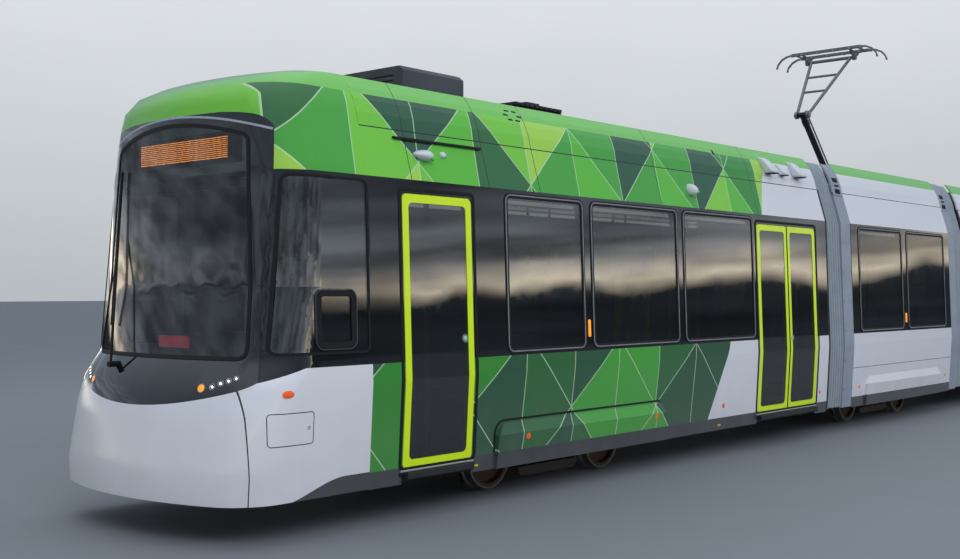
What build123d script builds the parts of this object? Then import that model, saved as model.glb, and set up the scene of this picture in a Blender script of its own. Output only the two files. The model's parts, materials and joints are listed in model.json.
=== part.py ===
"""A low-floor articulated tram: two long end modules, a short centre module, two bellows."""

import os
from math import atan2, cos, pi, sin, sqrt

from build123d import *

# Heights in the tables are above the rail head. The flanges reach below it.
FLANGE = 28.0

# Overall form
CAB_SEAM = 11000.0
MODULE_END = 2650.0
CENTRE_END = 1850.0
PORTAL_DEPTH = 300.0
PIVOT_X = 2400.0

# Body section, half width by height above the rail
SKIRT_LOW, SKIRT_LOW_WIDTH = 285.0, 1272.0
SKIRT_HIGH, SKIRT_HIGH_WIDTH = 425.0, 1282.0
BELT, BELT_WIDTH = 1150.0, 1325.0
CANT, CANT_WIDTH = 2820.0, 1268.0
SHOULDER, SHOULDER_WIDTH = CANT + 420.0, 1150.0
CREST, CREST_WIDTH = CANT + 850.0, 950.0
SHOULDER_BULGE = 34.0
SHOULDER_STEPS = 4

WALL = 80.0
SKIN = 30.0
GLASS = 10.0
DECK = 80.0
CAB_WALL = 60.0

# Floor
FLOOR_TOP = 380.0
FLOOR_LOW = 300.0
AISLE_TOP = 480.0
AISLE_HALF = 440.0
PLATE = 30.0
WHEEL_BOX_TOP = 730.0
WELL_HALF = 1420.0

# Running gear
BOGIE_X = (-8040.0, 0.0, 8040.0)
BOGIE_NAMES = ("front", "centre", "rear")
WHEELBASE = 1850.0
WHEEL_RADIUS = 300.0
WHEEL_WIDTH = 125.0
BACK_TO_BACK = 1360.0
FLANGE_WIDTH = 30.0
AXLE_RADIUS = 65.0
BRAKE_DISC_RADIUS = 125.0
BEAM_Y, BEAM_WIDTH = 520.0, 110.0
BEAM_LOW, BEAM_HIGH = 215.0, 385.0
BOX_HOUSING = 95.0
RUNNING_GAP = 1.0
PIN_RADIUS = 70.0

# Doors and windows
DOOR_LOW, DOOR_HIGH = FLOOR_TOP + 30.0, CANT - 120.0
DOOR_GAP = 6.0
LEAF_DEPTH = 42.0
LEAF_BORDER = 72.0
WINDOW_RADIUS = 90.0
SINGLE_DOOR = (-10630.0, -9760.0)
DOUBLE_DOOR = (-4550.0, -2980.0)
WINDOW_LOW, WINDOW_HIGH = BELT + 195.0, CANT - 60.0
# Saloon windows of an end module, first and last x
WINDOWS = ((-9280.0, -8120.0), (-7955.0, -6380.0), (-6220.0, -4670.0))
CENTRE_WINDOWS = ((-1600.0, -110.0), (110.0, 1600.0))

# Windscreen
SCREEN_LOW = BELT + 220.0
SCREEN_SHOULDER, SCREEN_TOP = SHOULDER - 150.0, SHOULDER - 20.0
SCREEN_LOW_HALF, SCREEN_HIGH_HALF = 1005.0, 880.0
SCREEN_RADIUS = 90.0
SCREEN_GLASS = 12.0

# Cab shell: height, reach ahead of the cab seam, corner radius. The half width follows the body section.
CAB_SECTIONS = (
    (SKIRT_LOW + 5.0, 1485.0, 450.0),
    (SKIRT_HIGH + 75.0, 1490.0, 450.0),
    (BELT - 200.0, 1405.0, 450.0),
    (BELT + 20.0, 1335.0, 450.0),
    (SCREEN_LOW, 1190.0, 450.0),
    (SCREEN_LOW + 550.0, 1110.0, 430.0),
    (CANT, 1060.0, 400.0),
    (SHOULDER, 1030.0, 360.0),
    (CREST - 250.0, 1000.0, 360.0),
    (CREST - 120.0, 890.0, 360.0),
    (CREST - 40.0, 720.0, 360.0),
    (CREST, 530.0, 360.0),
)
NOSE_RADIUS = 3000.0
CROWN, CROWN_REACH, CROWN_WIDTH, CROWN_CORNER = CREST + 20.0, 400.0, 700.0, 300.0
MASK_EDGE_CENTRE, MASK_EDGE_SIDE = BELT - 170.0, BELT + 50.0
MASK_SIDE_X, MASK_CENTRE_X = -CAB_SEAM - 1046.0, -CAB_SEAM - 1420.0
# Joint between the nose pieces and the side panels in side view: x, height
SEAM = (
    (-CAB_SEAM - 1150.0, 0.0),
    (-CAB_SEAM - 1150.0, BELT - 200.0),
    (-CAB_SEAM - 975.0, SCREEN_LOW),
    (-CAB_SEAM - 837.0, CANT),
    (-CAB_SEAM - 790.0, SHOULDER + 50.0),
)
CAB_ROOF_LOW = SEAM[-1][1]
# Where the cutting shapes of the cab begin, ahead of the nose and behind the screen
AHEAD = -CAB_SEAM - 2000.0
BEHIND_SCREEN = -CAB_SEAM - 500.0

# Articulation
TURNTABLE_RADIUS = 640.0
TURNTABLE_GAP = 8.0
PIVOT_PIN_RADIUS = 60.0
GANGWAY_HALF = 900.0
GANGWAY_TOP = CANT - 370.0
BELLOWS_FOLDS = 6
BELLOWS_DEPTH = 55.0

# Pantograph
STRIP_Z = 5690.0
PANTO_BASE_X, PANTO_BASE_Z = 300.0, CREST - 90.0
PANTO_KNEE_X, PANTO_KNEE_Z = PANTO_BASE_X - 1000.0, STRIP_Z - 1120.0
PANTO_HEAD_X, PANTO_HEAD_Z = PANTO_BASE_X - 10.0, STRIP_Z - 140.0
# Cross tubes of the upper arm: share of its length, half length
UPPER_TUBES = ((0.42, 182.0), (0.70, 252.0))
# Guide rod's pivots beside the lower arm's
GUIDE_DX, GUIDE_DZ = 130.0, 62.0
STRIP_HALF = 575.0
HORN_HALF = 850.0


def up(height):
    """Height above the part's origin of a height above the rail."""
    return FLANGE + height


def shoulder_stations():
    """Points of the curved fairing from the shoulder to the crest, as height and half width."""
    points = []
    for step in range(1, SHOULDER_STEPS):
        share = step / SHOULDER_STEPS
        bulge = SHOULDER_BULGE * 4 * share * (1 - share)
        height = SHOULDER + (CREST - SHOULDER) * share + bulge * 0.4
        width = SHOULDER_WIDTH + (CREST_WIDTH - SHOULDER_WIDTH) * share + bulge * 0.9
        points.append((height, width))
    return points


SECTION = (
    [(SKIRT_LOW, SKIRT_LOW_WIDTH), (SKIRT_HIGH, SKIRT_HIGH_WIDTH), (BELT, BELT_WIDTH)]
    + [(CANT, CANT_WIDTH), (SHOULDER, SHOULDER_WIDTH)]
    + shoulder_stations()
    + [(CREST, CREST_WIDTH)]
)


def half_width(height):
    """Half width of the body at a height above the rail."""
    if height <= SECTION[0][0]:
        return SECTION[0][1]
    for (low, low_width), (high, high_width) in zip(SECTION, SECTION[1:]):
        if height <= high:
            share = (height - low) / (high - low)
            return low_width + (high_width - low_width) * share
    return SECTION[-1][1]


def side_line(low, high, inset):
    """Points (y, height) of one side of the body between two heights, set in by inset."""
    heights = [low] + [z for z, _ in SECTION if low < z < high] + [high]
    return [(half_width(z) - inset, z) for z in heights]


def profile_x(points, x0, x1):
    """A prism along X from points (y, height above the rail)."""
    outline = Polyline(*[(y, up(z)) for y, z in points], close=True)
    return extrude(Plane.YZ.offset(x0) * make_face(outline), x1 - x0)


def profile_y(points, y0, y1):
    """A prism along Y from points (x, height above the rail)."""
    plane = Plane((0, y1, 0), x_dir=(1, 0, 0), z_dir=(0, -1, 0))
    outline = Polyline(*[(x, up(z)) for x, z in points], close=True)
    return extrude(plane * make_face(outline), y1 - y0)


def box(x0, x1, y0, y1, z0, z1):
    """A box between corners, heights above the rail."""
    middle = Pos((x0 + x1) / 2, (y0 + y1) / 2, up((z0 + z1) / 2))
    return middle * Box(x1 - x0, y1 - y0, z1 - z0)


def pane_y(x0, x1, z0, z1, radius, y0, y1):
    """A rounded rectangle in side view, as a prism along Y."""
    plane = Plane((0, y1, 0), x_dir=(1, 0, 0), z_dir=(0, -1, 0))
    face = Pos((x0 + x1) / 2, up((z0 + z1) / 2)) * RectangleRounded(x1 - x0, z1 - z0, radius)
    return extrude(plane * face, y1 - y0)


def rod(start, end, radius):
    """A round bar between two points, heights above the rail."""
    first = Vector(start[0], start[1], up(start[2]))
    last = Vector(end[0], end[1], up(end[2]))
    along = last - first
    return extrude(Plane(first, z_dir=along) * Circle(radius), along.length)


def slab(x0, x1, low, high, outer, inner):
    """A stretch of the right-hand side skin between two insets."""
    out = side_line(low, high, outer)
    back = side_line(low, high, inner)
    return profile_x([(-y, z) for y, z in out] + [(-y, z) for y, z in reversed(back)], x0, x1)


def solids_of(*shapes):
    """All solids of some shapes, in one list."""
    found = []
    for shape in shapes:
        found.extend(shape.solids())
    return found


def both_sides(*shapes):
    """The given solids and their mirror images across the tram's middle plane."""
    right = solids_of(*shapes)
    return right + [mirror(solid, Plane.XZ) for solid in right]


def group(shapes):
    """One node from solids that stay apart."""
    return Compound(children=solids_of(*shapes))


def turned(shape):
    """The same piece at the rear of the tram."""
    return Rot(0, 0, 180) * shape


def window_cutters(windows, low=WINDOW_LOW, high=WINDOW_HIGH):
    """Prisms through the right-hand wall for a row of windows."""
    return [pane_y(x0, x1, low, high, WINDOW_RADIUS, -1500, -1000) for x0, x1 in windows]


def leaves(door, count):
    """First and last x of each leaf of a doorway."""
    x0, x1 = door
    width = (x1 - x0 - DOOR_GAP * (count + 1)) / count
    return [
        (x0 + DOOR_GAP + i * (width + DOOR_GAP), x0 + DOOR_GAP + i * (width + DOOR_GAP) + width)
        for i in range(count)
    ]


def doorway(door):
    """A prism through the right-hand side for a doorway, from below the skirt."""
    return pane_y(door[0], door[1], DOOR_LOW - DOOR_GAP, DOOR_HIGH + DOOR_GAP, 40, -1500, -1000)


def side_wall(x0, x1, windows, doors):
    """One side wall with its windows and doorways cut."""
    wall = slab(x0, x1, SKIRT_HIGH, CANT, 0, WALL)
    for cutter in window_cutters(windows):
        wall -= cutter
    for door in doors:
        wall -= doorway(door)
    return wall


def side_glass(windows, low=WINDOW_LOW, high=WINDOW_HIGH):
    """Panes flush with the outer skin, in the wall's own openings."""
    panes = []
    for (x0, x1), cutter in zip(windows, window_cutters(windows, low, high)):
        panes.append(slab(x0 - 5, x1 + 5, low - 5, high + 5, 0, GLASS) & cutter)
    return panes


def door_leaf(x0, x1):
    """A plug door's leaf and its pane, flush with the skin."""
    skin = slab(x0 - 5, x1 + 5, DOOR_LOW - 5, DOOR_HIGH + 5, 0, LEAF_DEPTH)
    leaf = skin & pane_y(x0, x1, DOOR_LOW, DOOR_HIGH, 50, -1500, -1000)
    border = LEAF_BORDER
    hole = pane_y(x0 + border, x1 - border, DOOR_LOW + border, DOOR_HIGH - border, 45, -1500, -1000)
    glass = slab(x0, x1, DOOR_LOW, DOOR_HIGH, 4, 4 + GLASS) & hole
    return leaf - hole, glass


def roof_section(x0, x1):
    """Roof deck and both fairings, a trough that the roof gear stands in."""
    outer = side_line(CANT, CREST, 0)
    inner = side_line(CANT + DECK, CREST, SKIN)
    half = outer + inner[::-1]
    other = [(-y, z) for y, z in half[::-1]]
    return profile_x(half + other, x0, x1)


def underframe_section(x0, x1):
    """Floor plate with the raised edges that the walls stand on."""
    inner = half_width(SKIRT_HIGH) - WALL
    half = side_line(FLOOR_LOW, SKIRT_HIGH, SKIN) + [(inner, SKIRT_HIGH), (inner, FLOOR_TOP)]
    return profile_x(half + [(-y, z) for y, z in half[::-1]], x0, x1)


def bogie_hood(x):
    """Wheel boxes and raised aisle over a bogie, one bent plate closed at its ends."""
    edge = SKIRT_HIGH_WIDTH - WALL
    outer = [(edge, FLOOR_LOW), (edge, WHEEL_BOX_TOP), (AISLE_HALF, WHEEL_BOX_TOP), (AISLE_HALF, AISLE_TOP)]
    inner = [
        (edge - PLATE, FLOOR_LOW),
        (edge - PLATE, WHEEL_BOX_TOP - PLATE),
        (AISLE_HALF + PLATE, WHEEL_BOX_TOP - PLATE),
        (AISLE_HALF + PLATE, AISLE_TOP - PLATE),
    ]
    full = outer + [(-y, z) for y, z in outer[::-1]]
    hollow = inner + [(-y, z) for y, z in inner[::-1]]
    hood = profile_x(full, x - WELL_HALF, x + WELL_HALF)
    hood -= profile_x(hollow, x - WELL_HALF + PLATE, x + WELL_HALF - PLATE)
    return hood


def pivot_pin(x):
    """The pin under the aisle floor that a bogie turns on."""
    return rod((x, 0, AISLE_TOP - PLATE), (x, 0, BEAM_LOW + 20), PIN_RADIUS)


def ramp(x, direction):
    """A short slope from the floor up to the raised aisle at one end of the bogie hood."""
    foot = x + direction * (WELL_HALF + 700)
    end = x + direction * WELL_HALF
    points = [(foot, FLOOR_TOP), (end, FLOOR_TOP), (end, AISLE_TOP)]
    return profile_y(points, -AISLE_HALF, AISLE_HALF)


def well(x):
    """The hole that the hood fills in the floor plate."""
    edge = SKIRT_HIGH_WIDTH - WALL
    return box(x - WELL_HALF, x + WELL_HALF, -edge, edge, FLOOR_LOW - 20, FLOOR_TOP + 20)


def cab_section(height, tip, corner, half, inset=0.0, back=-CAB_SEAM):
    """Plan outline of the cab at one height: nose arc, two corner arcs and straight sides."""
    big = NOSE_RADIUS - inset
    small = corner - inset
    side = half - inset
    centre = tip + inset + big
    corner_y = side - small
    corner_x = centre - sqrt((big - small) ** 2 - corner_y**2)
    angle = atan2(corner_y, centre - corner_x)
    join = (centre - big * cos(angle), big * sin(angle))
    middle = (angle + pi / 2) / 2
    swell = (corner_x - small * cos(middle), corner_y + small * sin(middle))
    nose = ThreePointArc((join[0], -join[1]), (tip + inset, 0), join)
    left = ThreePointArc(join, swell, (corner_x, side))
    right = ThreePointArc((corner_x, -side), (swell[0], -swell[1]), (join[0], -join[1]))
    rest = Polyline((corner_x, side), (back, side), (back, -side), (corner_x, -side))
    return Plane.XY.offset(up(height)) * make_face([nose, left, rest, right])


def cab_form(inset, top_inset, back=-CAB_SEAM):
    """The closed form of the cab, as a ruled loft of its plan outlines."""
    sections = []
    for height, reach, corner in CAB_SECTIONS:
        half = half_width(height)
        share = max(0.0, (height - CANT) / (CREST - CANT))
        level = height - top_inset * share
        sections.append(cab_section(level, -CAB_SEAM - reach, corner, half, inset, back))
    crown = cab_section(CROWN - top_inset, -CAB_SEAM - CROWN_REACH, CROWN_CORNER, CROWN_WIDTH, inset, back)
    sections.append(crown)
    return loft(sections, ruled=True)


CAB_OUTER = cab_form(0, 0)
CAB_INNER = cab_form(CAB_WALL, CAB_WALL) + box(
    -CAB_SEAM - 300, -CAB_SEAM + 50, -1150, 1150, SKIRT_LOW, CANT - 200
)
CAB_SHELL = CAB_OUTER - CAB_INNER - box(AHEAD, -CAB_SEAM + 1000, -1400, 1400, 0, CAB_SECTIONS[0][0] + 1)


def screen_opening(x0=AHEAD, x1=BEHIND_SCREEN):
    """The windscreen's outline in front view, as a prism along X."""
    points = [
        (SCREEN_LOW_HALF, SCREEN_LOW),
        (SCREEN_HIGH_HALF, SCREEN_SHOULDER),
        (0, SCREEN_TOP),
        (-SCREEN_HIGH_HALF, SCREEN_SHOULDER),
        (-SCREEN_LOW_HALF, SCREEN_LOW),
    ]
    right = Line((points[0][0], up(points[0][1])), (points[1][0], up(points[1][1])))
    top = ThreePointArc(*[(y, up(z)) for y, z in points[1:4]])
    left = Line((points[3][0], up(points[3][1])), (points[4][0], up(points[4][1])))
    foot = Line((points[4][0], up(points[4][1])), (points[0][0], up(points[0][1])))
    face = make_face([right, top, left, foot])
    face = fillet(face.vertices(), SCREEN_RADIUS)
    return extrude(Plane.YZ.offset(x0) * face, x1 - x0)


# Lamps in the mask: y, height, radius
HEADLAMPS = (
    (750.0, 1152.0, 34.0),
    (845.0, 1165.0, 24.0),
    (905.0, 1190.0, 24.0),
    (960.0, 1210.0, 24.0),
    (1010.0, 1230.0, 22.0),
)


def lamp_plug(y, height, radius):
    """A lamp body as an eight-sided plug in the mask, along X."""
    return extrude(Plane.YZ.offset(-CAB_SEAM - 1700) * Pos(y, up(height)) * RegularPolygon(radius, 8), 900)


def cab_front():
    """Nose, mask, windscreen, side panels, cab glass, cab roof and lamps, all from one shell."""
    front = profile_y([(AHEAD, 0), *SEAM, (AHEAD, CAB_ROOF_LOW)], -1500, 1500)
    edge = [(AHEAD, 0), (BEHIND_SCREEN, 0), (BEHIND_SCREEN, MASK_EDGE_SIDE), (MASK_SIDE_X, MASK_EDGE_SIDE)]
    edge += [(MASK_CENTRE_X, MASK_EDGE_CENTRE), (AHEAD, MASK_EDGE_CENTRE)]
    below = profile_y(edge, -1500, 1500)
    lid = box(AHEAD, -CAB_SEAM + 10, -1500, 1500, CAB_ROOF_LOW, CROWN + 50)
    nose = CAB_SHELL & front & below
    opening = screen_opening()
    mask = (CAB_OUTER & front) - below - opening
    screen = (CAB_OUTER - cab_form(SCREEN_GLASS, SCREEN_GLASS)) & opening
    screen &= box(AHEAD, BEHIND_SCREEN - 200, -1500, 1500, SCREEN_LOW - 50, CAB_ROOF_LOW)
    side = CAB_SHELL - front - lid
    side -= box(AHEAD, -CAB_SEAM + 10, -1600, 1600, 0, SKIRT_LOW)
    margin = 45.0
    low, high = SCREEN_LOW + 40.0, CANT - 50.0
    pane = [
        (SEAM[2][0] + margin, low),
        (-CAB_SEAM - 60, low),
        (-CAB_SEAM - 60, high),
        (SEAM[3][0] + margin, high),
    ]
    hole = profile_y(pane, -1500, -900)
    hole = fillet(hole.edges().filter_by(Axis.Y), 60)
    glass = (CAB_OUTER - cab_form(GLASS, GLASS)) & hole
    holes = solids_of(hole, mirror(hole, Plane.XZ))
    for cutter in holes:
        side -= cutter
    lid_shell = CAB_SHELL & lid
    lamps = []
    for y, height, radius in HEADLAMPS:
        for sign in (-1, 1):
            plug = lamp_plug(sign * y, height, radius)
            lamps.extend(((CAB_OUTER & plug) - CAB_INNER).solids())
            mask -= plug
    mask -= CAB_INNER
    return nose, mask, screen, side, both_sides(glass), lid_shell, lamps


def seat(x, y, base, facing):
    """A two-place seat: cushion, backrest and pedestal in one profile; facing is +1 or -1 along X."""
    points = [
        (-190, 0),
        (190, 0),
        (190, 60),
        (60, 60),
        (60, 330),
        (230, 340),
        (230, 430),
        (-170, 410),
        (-250, 900),
        (-310, 900),
        (-235, 330),
        (-60, 330),
        (-60, 60),
        (-190, 60),
    ]
    shifted = [(x + facing * px, base + pz) for px, pz in points]
    return profile_y(shifted, y - 330, y + 330)


# Seats of an end module: x, floor under the seat, facing
SEATS = (
    (-9040.0, WHEEL_BOX_TOP, 1),
    (-7980.0, WHEEL_BOX_TOP, -1),
    (-7380.0, WHEEL_BOX_TOP, 1),
    (-6150.0, FLOOR_TOP, -1),
    (-5500.0, FLOOR_TOP, 1),
)
CENTRE_SEATS = ((-700.0, WHEEL_BOX_TOP, 1), (700.0, WHEEL_BOX_TOP, -1))
SEAT_Y = 800.0
# Grab poles of an end module: x, half spacing
POLES = ((-10560.0, 620.0), (-9640.0, 620.0), (-4640.0, 520.0), (-2900.0, 980.0))
POLE_RADIUS = 17.0


def pole(x, y, floor=FLOOR_TOP):
    """A grab pole from floor to ceiling."""
    return rod((x, y, floor), (x, y, CANT), POLE_RADIUS)


def driver_seat(x):
    """The driver's seat on its post."""
    post = rod((x, 0, FLOOR_TOP), (x, 0, FLOOR_TOP + 400), 50)
    pan = box(x - 250, x + 250, -240, 240, FLOOR_TOP + 400, FLOOR_TOP + 500)
    back = profile_y(
        [
            (x + 170, FLOOR_TOP + 500),
            (x + 250, FLOOR_TOP + 500),
            (x + 370, FLOOR_TOP + 1220),
            (x + 300, FLOOR_TOP + 1230),
        ],
        -230,
        230,
    )
    head = box(x + 310, x + 400, -130, 130, FLOOR_TOP + 1220, FLOOR_TOP + 1360)
    return post + pan + back + head


def cab_interior():
    """Desk, driver's seat and the partition behind the driver."""
    desk = profile_y(
        [
            (-CAB_SEAM - 1200, FLOOR_TOP),
            (-CAB_SEAM - 950, FLOOR_TOP),
            (-CAB_SEAM - 950, FLOOR_TOP + 520),
            (-CAB_SEAM - 720, FLOOR_TOP + 700),
            (-CAB_SEAM - 720, FLOOR_TOP + 750),
            (-CAB_SEAM - 980, FLOOR_TOP + 810),
            (-CAB_SEAM - 1060, SCREEN_LOW - 70),
            (-CAB_SEAM - 1200, SCREEN_LOW - 70),
        ],
        -950,
        950,
    )
    desk &= cab_form(CAB_WALL + 2, CAB_WALL + 2)
    side = side_line(SKIRT_HIGH, CANT, WALL)
    side = [(side[0][0], FLOOR_TOP)] + side
    outline = side + [(-y, z) for y, z in side[::-1]]
    partition = profile_x(outline, -CAB_SEAM, -CAB_SEAM + 40)
    opening = box(-CAB_SEAM - 10, -CAB_SEAM + 50, -350, 350, FLOOR_TOP + 60, CANT - 420)
    return group([desk, driver_seat(-CAB_SEAM - 500), partition - opening])


def wheel(inner_y):
    """A wheel, its flange on the inner side, revolved about the axle."""
    outline = [
        (AXLE_RADIUS, 0),
        (115, 0),
        (135, 45),
        (WHEEL_RADIUS - 62, 35),
        (WHEEL_RADIUS - 45, 0),
        (WHEEL_RADIUS + FLANGE - 8, 0),
        (WHEEL_RADIUS + FLANGE, 12),
        (WHEEL_RADIUS + FLANGE - 6, FLANGE_WIDTH - 6),
        (WHEEL_RADIUS, FLANGE_WIDTH + 5),
        (WHEEL_RADIUS, WHEEL_WIDTH),
        (WHEEL_RADIUS - 45, WHEEL_WIDTH),
        (WHEEL_RADIUS - 58, WHEEL_WIDTH - 48),
        (130, WHEEL_WIDTH - 40),
        (110, WHEEL_WIDTH + 8),
        (AXLE_RADIUS, WHEEL_WIDTH + 8),
    ]
    face = make_face(Polyline(*[(inner_y + a, r) for r, a in outline], close=True))
    turned_face = Plane((0, 0, 0), x_dir=(0, 1, 0), z_dir=(1, 0, 0)) * face
    return revolve(turned_face, Axis.Y)


def wheelset(x):
    """Axle, two wheels and the brake discs beside the gear case, one solid."""
    inner = BACK_TO_BACK / 2
    axle = Plane((0, -inner - WHEEL_WIDTH, 0), z_dir=(0, 1, 0)) * Circle(AXLE_RADIUS)
    one = extrude(axle, 2 * (inner + WHEEL_WIDTH)) + wheel(inner) + mirror(wheel(inner), Plane.XZ)
    for y in (-270, 230):
        disc = Plane((0, y, 0), z_dir=(0, 1, 0)) * Circle(BRAKE_DISC_RADIUS)
        one += extrude(disc, 40)
    return Pos(x, 0, up(WHEEL_RADIUS)) * one


def bogie_frame(x):
    """Inside-bearing frame: two beams with axle boxes, a cross beam and the track brakes."""
    parts = None
    half = WHEELBASE / 2
    for sign in (-1, 1):
        y = sign * BEAM_Y
        beam = profile_y(
            [
                (x - half - 190, BEAM_LOW + 30),
                (x - half - 150, BEAM_LOW),
                (x - half + 150, BEAM_LOW),
                (x - half + 330, BEAM_LOW - 45),
                (x + half - 330, BEAM_LOW - 45),
                (x + half - 150, BEAM_LOW),
                (x + half + 150, BEAM_LOW),
                (x + half + 190, BEAM_LOW + 30),
                (x + half + 190, BEAM_HIGH - 20),
                (x + half - 250, BEAM_HIGH - 20),
                (x + half - 420, BEAM_HIGH - 60),
                (x - half + 420, BEAM_HIGH - 60),
                (x - half + 250, BEAM_HIGH - 20),
                (x - half - 190, BEAM_HIGH - 20),
            ],
            y - BEAM_WIDTH / 2,
            y + BEAM_WIDTH / 2,
        )
        parts = beam if parts is None else parts + beam
        for end in (-1, 1):
            housing = rod(
                (x + end * half, y - BEAM_WIDTH / 2 - 8, WHEEL_RADIUS),
                (x + end * half, y + BEAM_WIDTH / 2 + 8, WHEEL_RADIUS),
                BOX_HOUSING,
            )
            parts += housing
        for end in (-1, 1):
            spring = rod((x + end * 330, y, BEAM_HIGH - 70), (x + end * 330, y, BEAM_HIGH + 35), 85)
            parts += spring
    cross = box(x - 210, x + 210, -BEAM_Y, BEAM_Y, BEAM_LOW - 30, BEAM_HIGH - 65)
    parts += cross
    parts -= rod((x, 0, 100), (x, 0, 500), PIN_RADIUS + RUNNING_GAP)
    for end in (-1, 1):
        gap = AXLE_RADIUS + RUNNING_GAP
        parts -= rod((x + end * half, -700, WHEEL_RADIUS), (x + end * half, 700, WHEEL_RADIUS), gap)
        motor = rod((x + end * 520, -210, 270), (x + end * 520, 210, 270), 115)
        arm = box(min(x + end * 200, x + end * 430), max(x + end * 200, x + end * 430), -120, 120, 220, 300)
        parts += motor + arm
    for sign in (-1, 1):
        shoe_y = sign * 752
        shoe = profile_y(
            [
                (x - 430, 60),
                (x + 430, 60),
                (x + 480, 110),
                (x + 480, 150),
                (x - 480, 150),
                (x - 480, 110),
            ],
            shoe_y - 45,
            shoe_y + 45,
        )
        parts += shoe
        for end in (-1, 1):
            hanger_x = x + end * 300
            low, high = sorted((sign * 560, sign * 780))
            parts += box(hanger_x - 30, hanger_x + 30, low, high, 200, 240)
            parts += rod((hanger_x, sign * 752, 145), (hanger_x, sign * 752, 210), 24)
    return parts


def skirt(x0, x1):
    """A flat skirt panel between the floor's underside and the walls."""
    return slab(x0, x1, SKIRT_LOW, SKIRT_HIGH, 0, SKIN)


COVER_OUT = 45.0
COVER_TOP = 690.0
COVER_FRONT, COVER_REAR = 1400.0, 1470.0


def bogie_cover(x, front, rear):
    """The bulged cover over a bogie, slanted at its rear and rounded at its front."""
    out = COVER_OUT
    cover = profile_x(
        [
            (-half_width(SKIRT_LOW) - out * 0.6, SKIRT_LOW),
            (-half_width(590) - out, 587),
            (-half_width(COVER_TOP), COVER_TOP),
            (-half_width(SKIRT_HIGH), SKIRT_HIGH),
            (-half_width(SKIRT_HIGH) + SKIN, SKIRT_HIGH),
            (-half_width(SKIRT_LOW) + SKIN, SKIRT_LOW),
        ],
        x - front,
        x + rear,
    )
    shape = [
        (x - front, 0),
        (x + rear, 0),
        (x + rear, SKIRT_HIGH),
        (x + rear - 150, COVER_TOP + 10),
        (x - front + 110, COVER_TOP + 10),
        (x - front, COVER_TOP - 110),
    ]
    return cover & profile_y(shape, -1500, -1000)


def sill(door):
    """The step plate along a doorway's foot."""
    x0, x1 = door
    outer = SKIRT_LOW_WIDTH + 60
    back = [(-y, z) for y, z in side_line(FLOOR_TOP - 60, FLOOR_TOP, SKIN)]
    points = back + [(-outer, FLOOR_TOP), (-outer, FLOOR_TOP - 45), (-outer + 25, FLOOR_TOP - 60)]
    return profile_x(points, x0 + 20, x1 - 20)


# Jack pads under the floor, x of an end module and of the centre module
JACK_PADS = (-CAB_SEAM + 100.0, -5250.0)
JACK_PAD_Y = 1100.0
JACK_PAD = 180.0


def jack_pad(x, y):
    """A square pad under the floor's edge."""
    half = JACK_PAD / 2
    return box(x - half, x + half, y - half, y + half, FLOOR_LOW - 25, FLOOR_LOW)


def end_underframe(x_bogie):
    """An end module's floor from the cab to the articulation."""
    floor = underframe_section(-CAB_SEAM, -MODULE_END)
    inner = cab_form(CAB_WALL, CAB_WALL)
    cab_floor = inner & box(AHEAD, -CAB_SEAM, -1400, 1400, FLOOR_LOW, FLOOR_TOP)
    floor = floor - well(x_bogie) + bogie_hood(x_bogie) + cab_floor
    floor += ramp(x_bogie, -1) + ramp(x_bogie, 1) + pivot_pin(x_bogie)
    for door in (SINGLE_DOOR, DOUBLE_DOOR):
        cut = box(door[0], door[1], -1300, 1300, FLOOR_TOP, SKIRT_HIGH + 10)
        floor -= cut
    for x in JACK_PADS:
        for y in (-JACK_PAD_Y, JACK_PAD_Y):
            floor += jack_pad(x, y)
    floor -= turntable_notch()
    bracket = box(-MODULE_END - 600, -PIVOT_X, -170, 170, FLOOR_LOW - 60, FLOOR_LOW)
    bracket += rod((-PIVOT_X, 0, FLOOR_LOW - 60), (-PIVOT_X, 0, FLOOR_LOW), 170)
    bracket -= rod((-PIVOT_X, 0, 0), (-PIVOT_X, 0, 400), PIVOT_PIN_RADIUS + RUNNING_GAP)
    return floor + bracket


def turntable(x):
    """The round floor plate over a pivot, with the pivot pin under it."""
    disc = rod((x, 0, FLOOR_TOP - 40), (x, 0, FLOOR_TOP), TURNTABLE_RADIUS)
    disc -= box(-CENTRE_END, CENTRE_END, -1000, 1000, 0, 1000)
    pin = rod((x, 0, FLOOR_LOW - 70), (x, 0, FLOOR_TOP - 20), PIVOT_PIN_RADIUS)
    return disc + pin


def ring(x0, x1, inset, opening_half, opening_top):
    """An upright frame of the body's section with the gangway opening in it."""
    side = side_line(FLOOR_LOW, SHOULDER, inset)
    outline = [(-y, z) for y, z in side] + [(y, z) for y, z in reversed(side)]
    frame = profile_x(outline, x0, x1)
    return frame - box(x0 - 10, x1 + 10, -opening_half, opening_half, FLOOR_TOP, opening_top)


def turntable_notch():
    """The round hole in an end module's floor that the turntable lies in."""
    radius = TURNTABLE_RADIUS + TURNTABLE_GAP
    return rod((-PIVOT_X, 0, FLOOR_TOP - 48), (-PIVOT_X, 0, FLOOR_TOP + 60), radius)


def gangway_frame():
    """The upright frame that the bellows hang on at the end module."""
    frame = ring(-MODULE_END, -MODULE_END + 60, 6.0, GANGWAY_HALF, GANGWAY_TOP)
    return frame - turntable_notch()


def bellows(x0, x1):
    """The folded gangway skin, outer folds by a ruled loft, open inside."""
    count = 2 * BELLOWS_FOLDS
    sections = []
    for step in range(count + 1):
        inset = 25.0 if step % 2 == 0 else 25.0 + BELLOWS_DEPTH
        side = side_line(FLOOR_LOW - 10 + inset, SHOULDER - inset, inset)
        outline = [(-y, up(z)) for y, z in side] + [(y, up(z)) for y, z in reversed(side)]
        x = x0 + (x1 - x0) * step / count
        sections.append(Plane.YZ.offset(x) * make_face(Polyline(*outline, close=True)))
    skin = loft(sections, ruled=True)
    tunnel = box(x0 - 10, x1 + 10, -GANGWAY_HALF - 110, GANGWAY_HALF + 110, 0, SHOULDER - 160)
    return skin - tunnel


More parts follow.
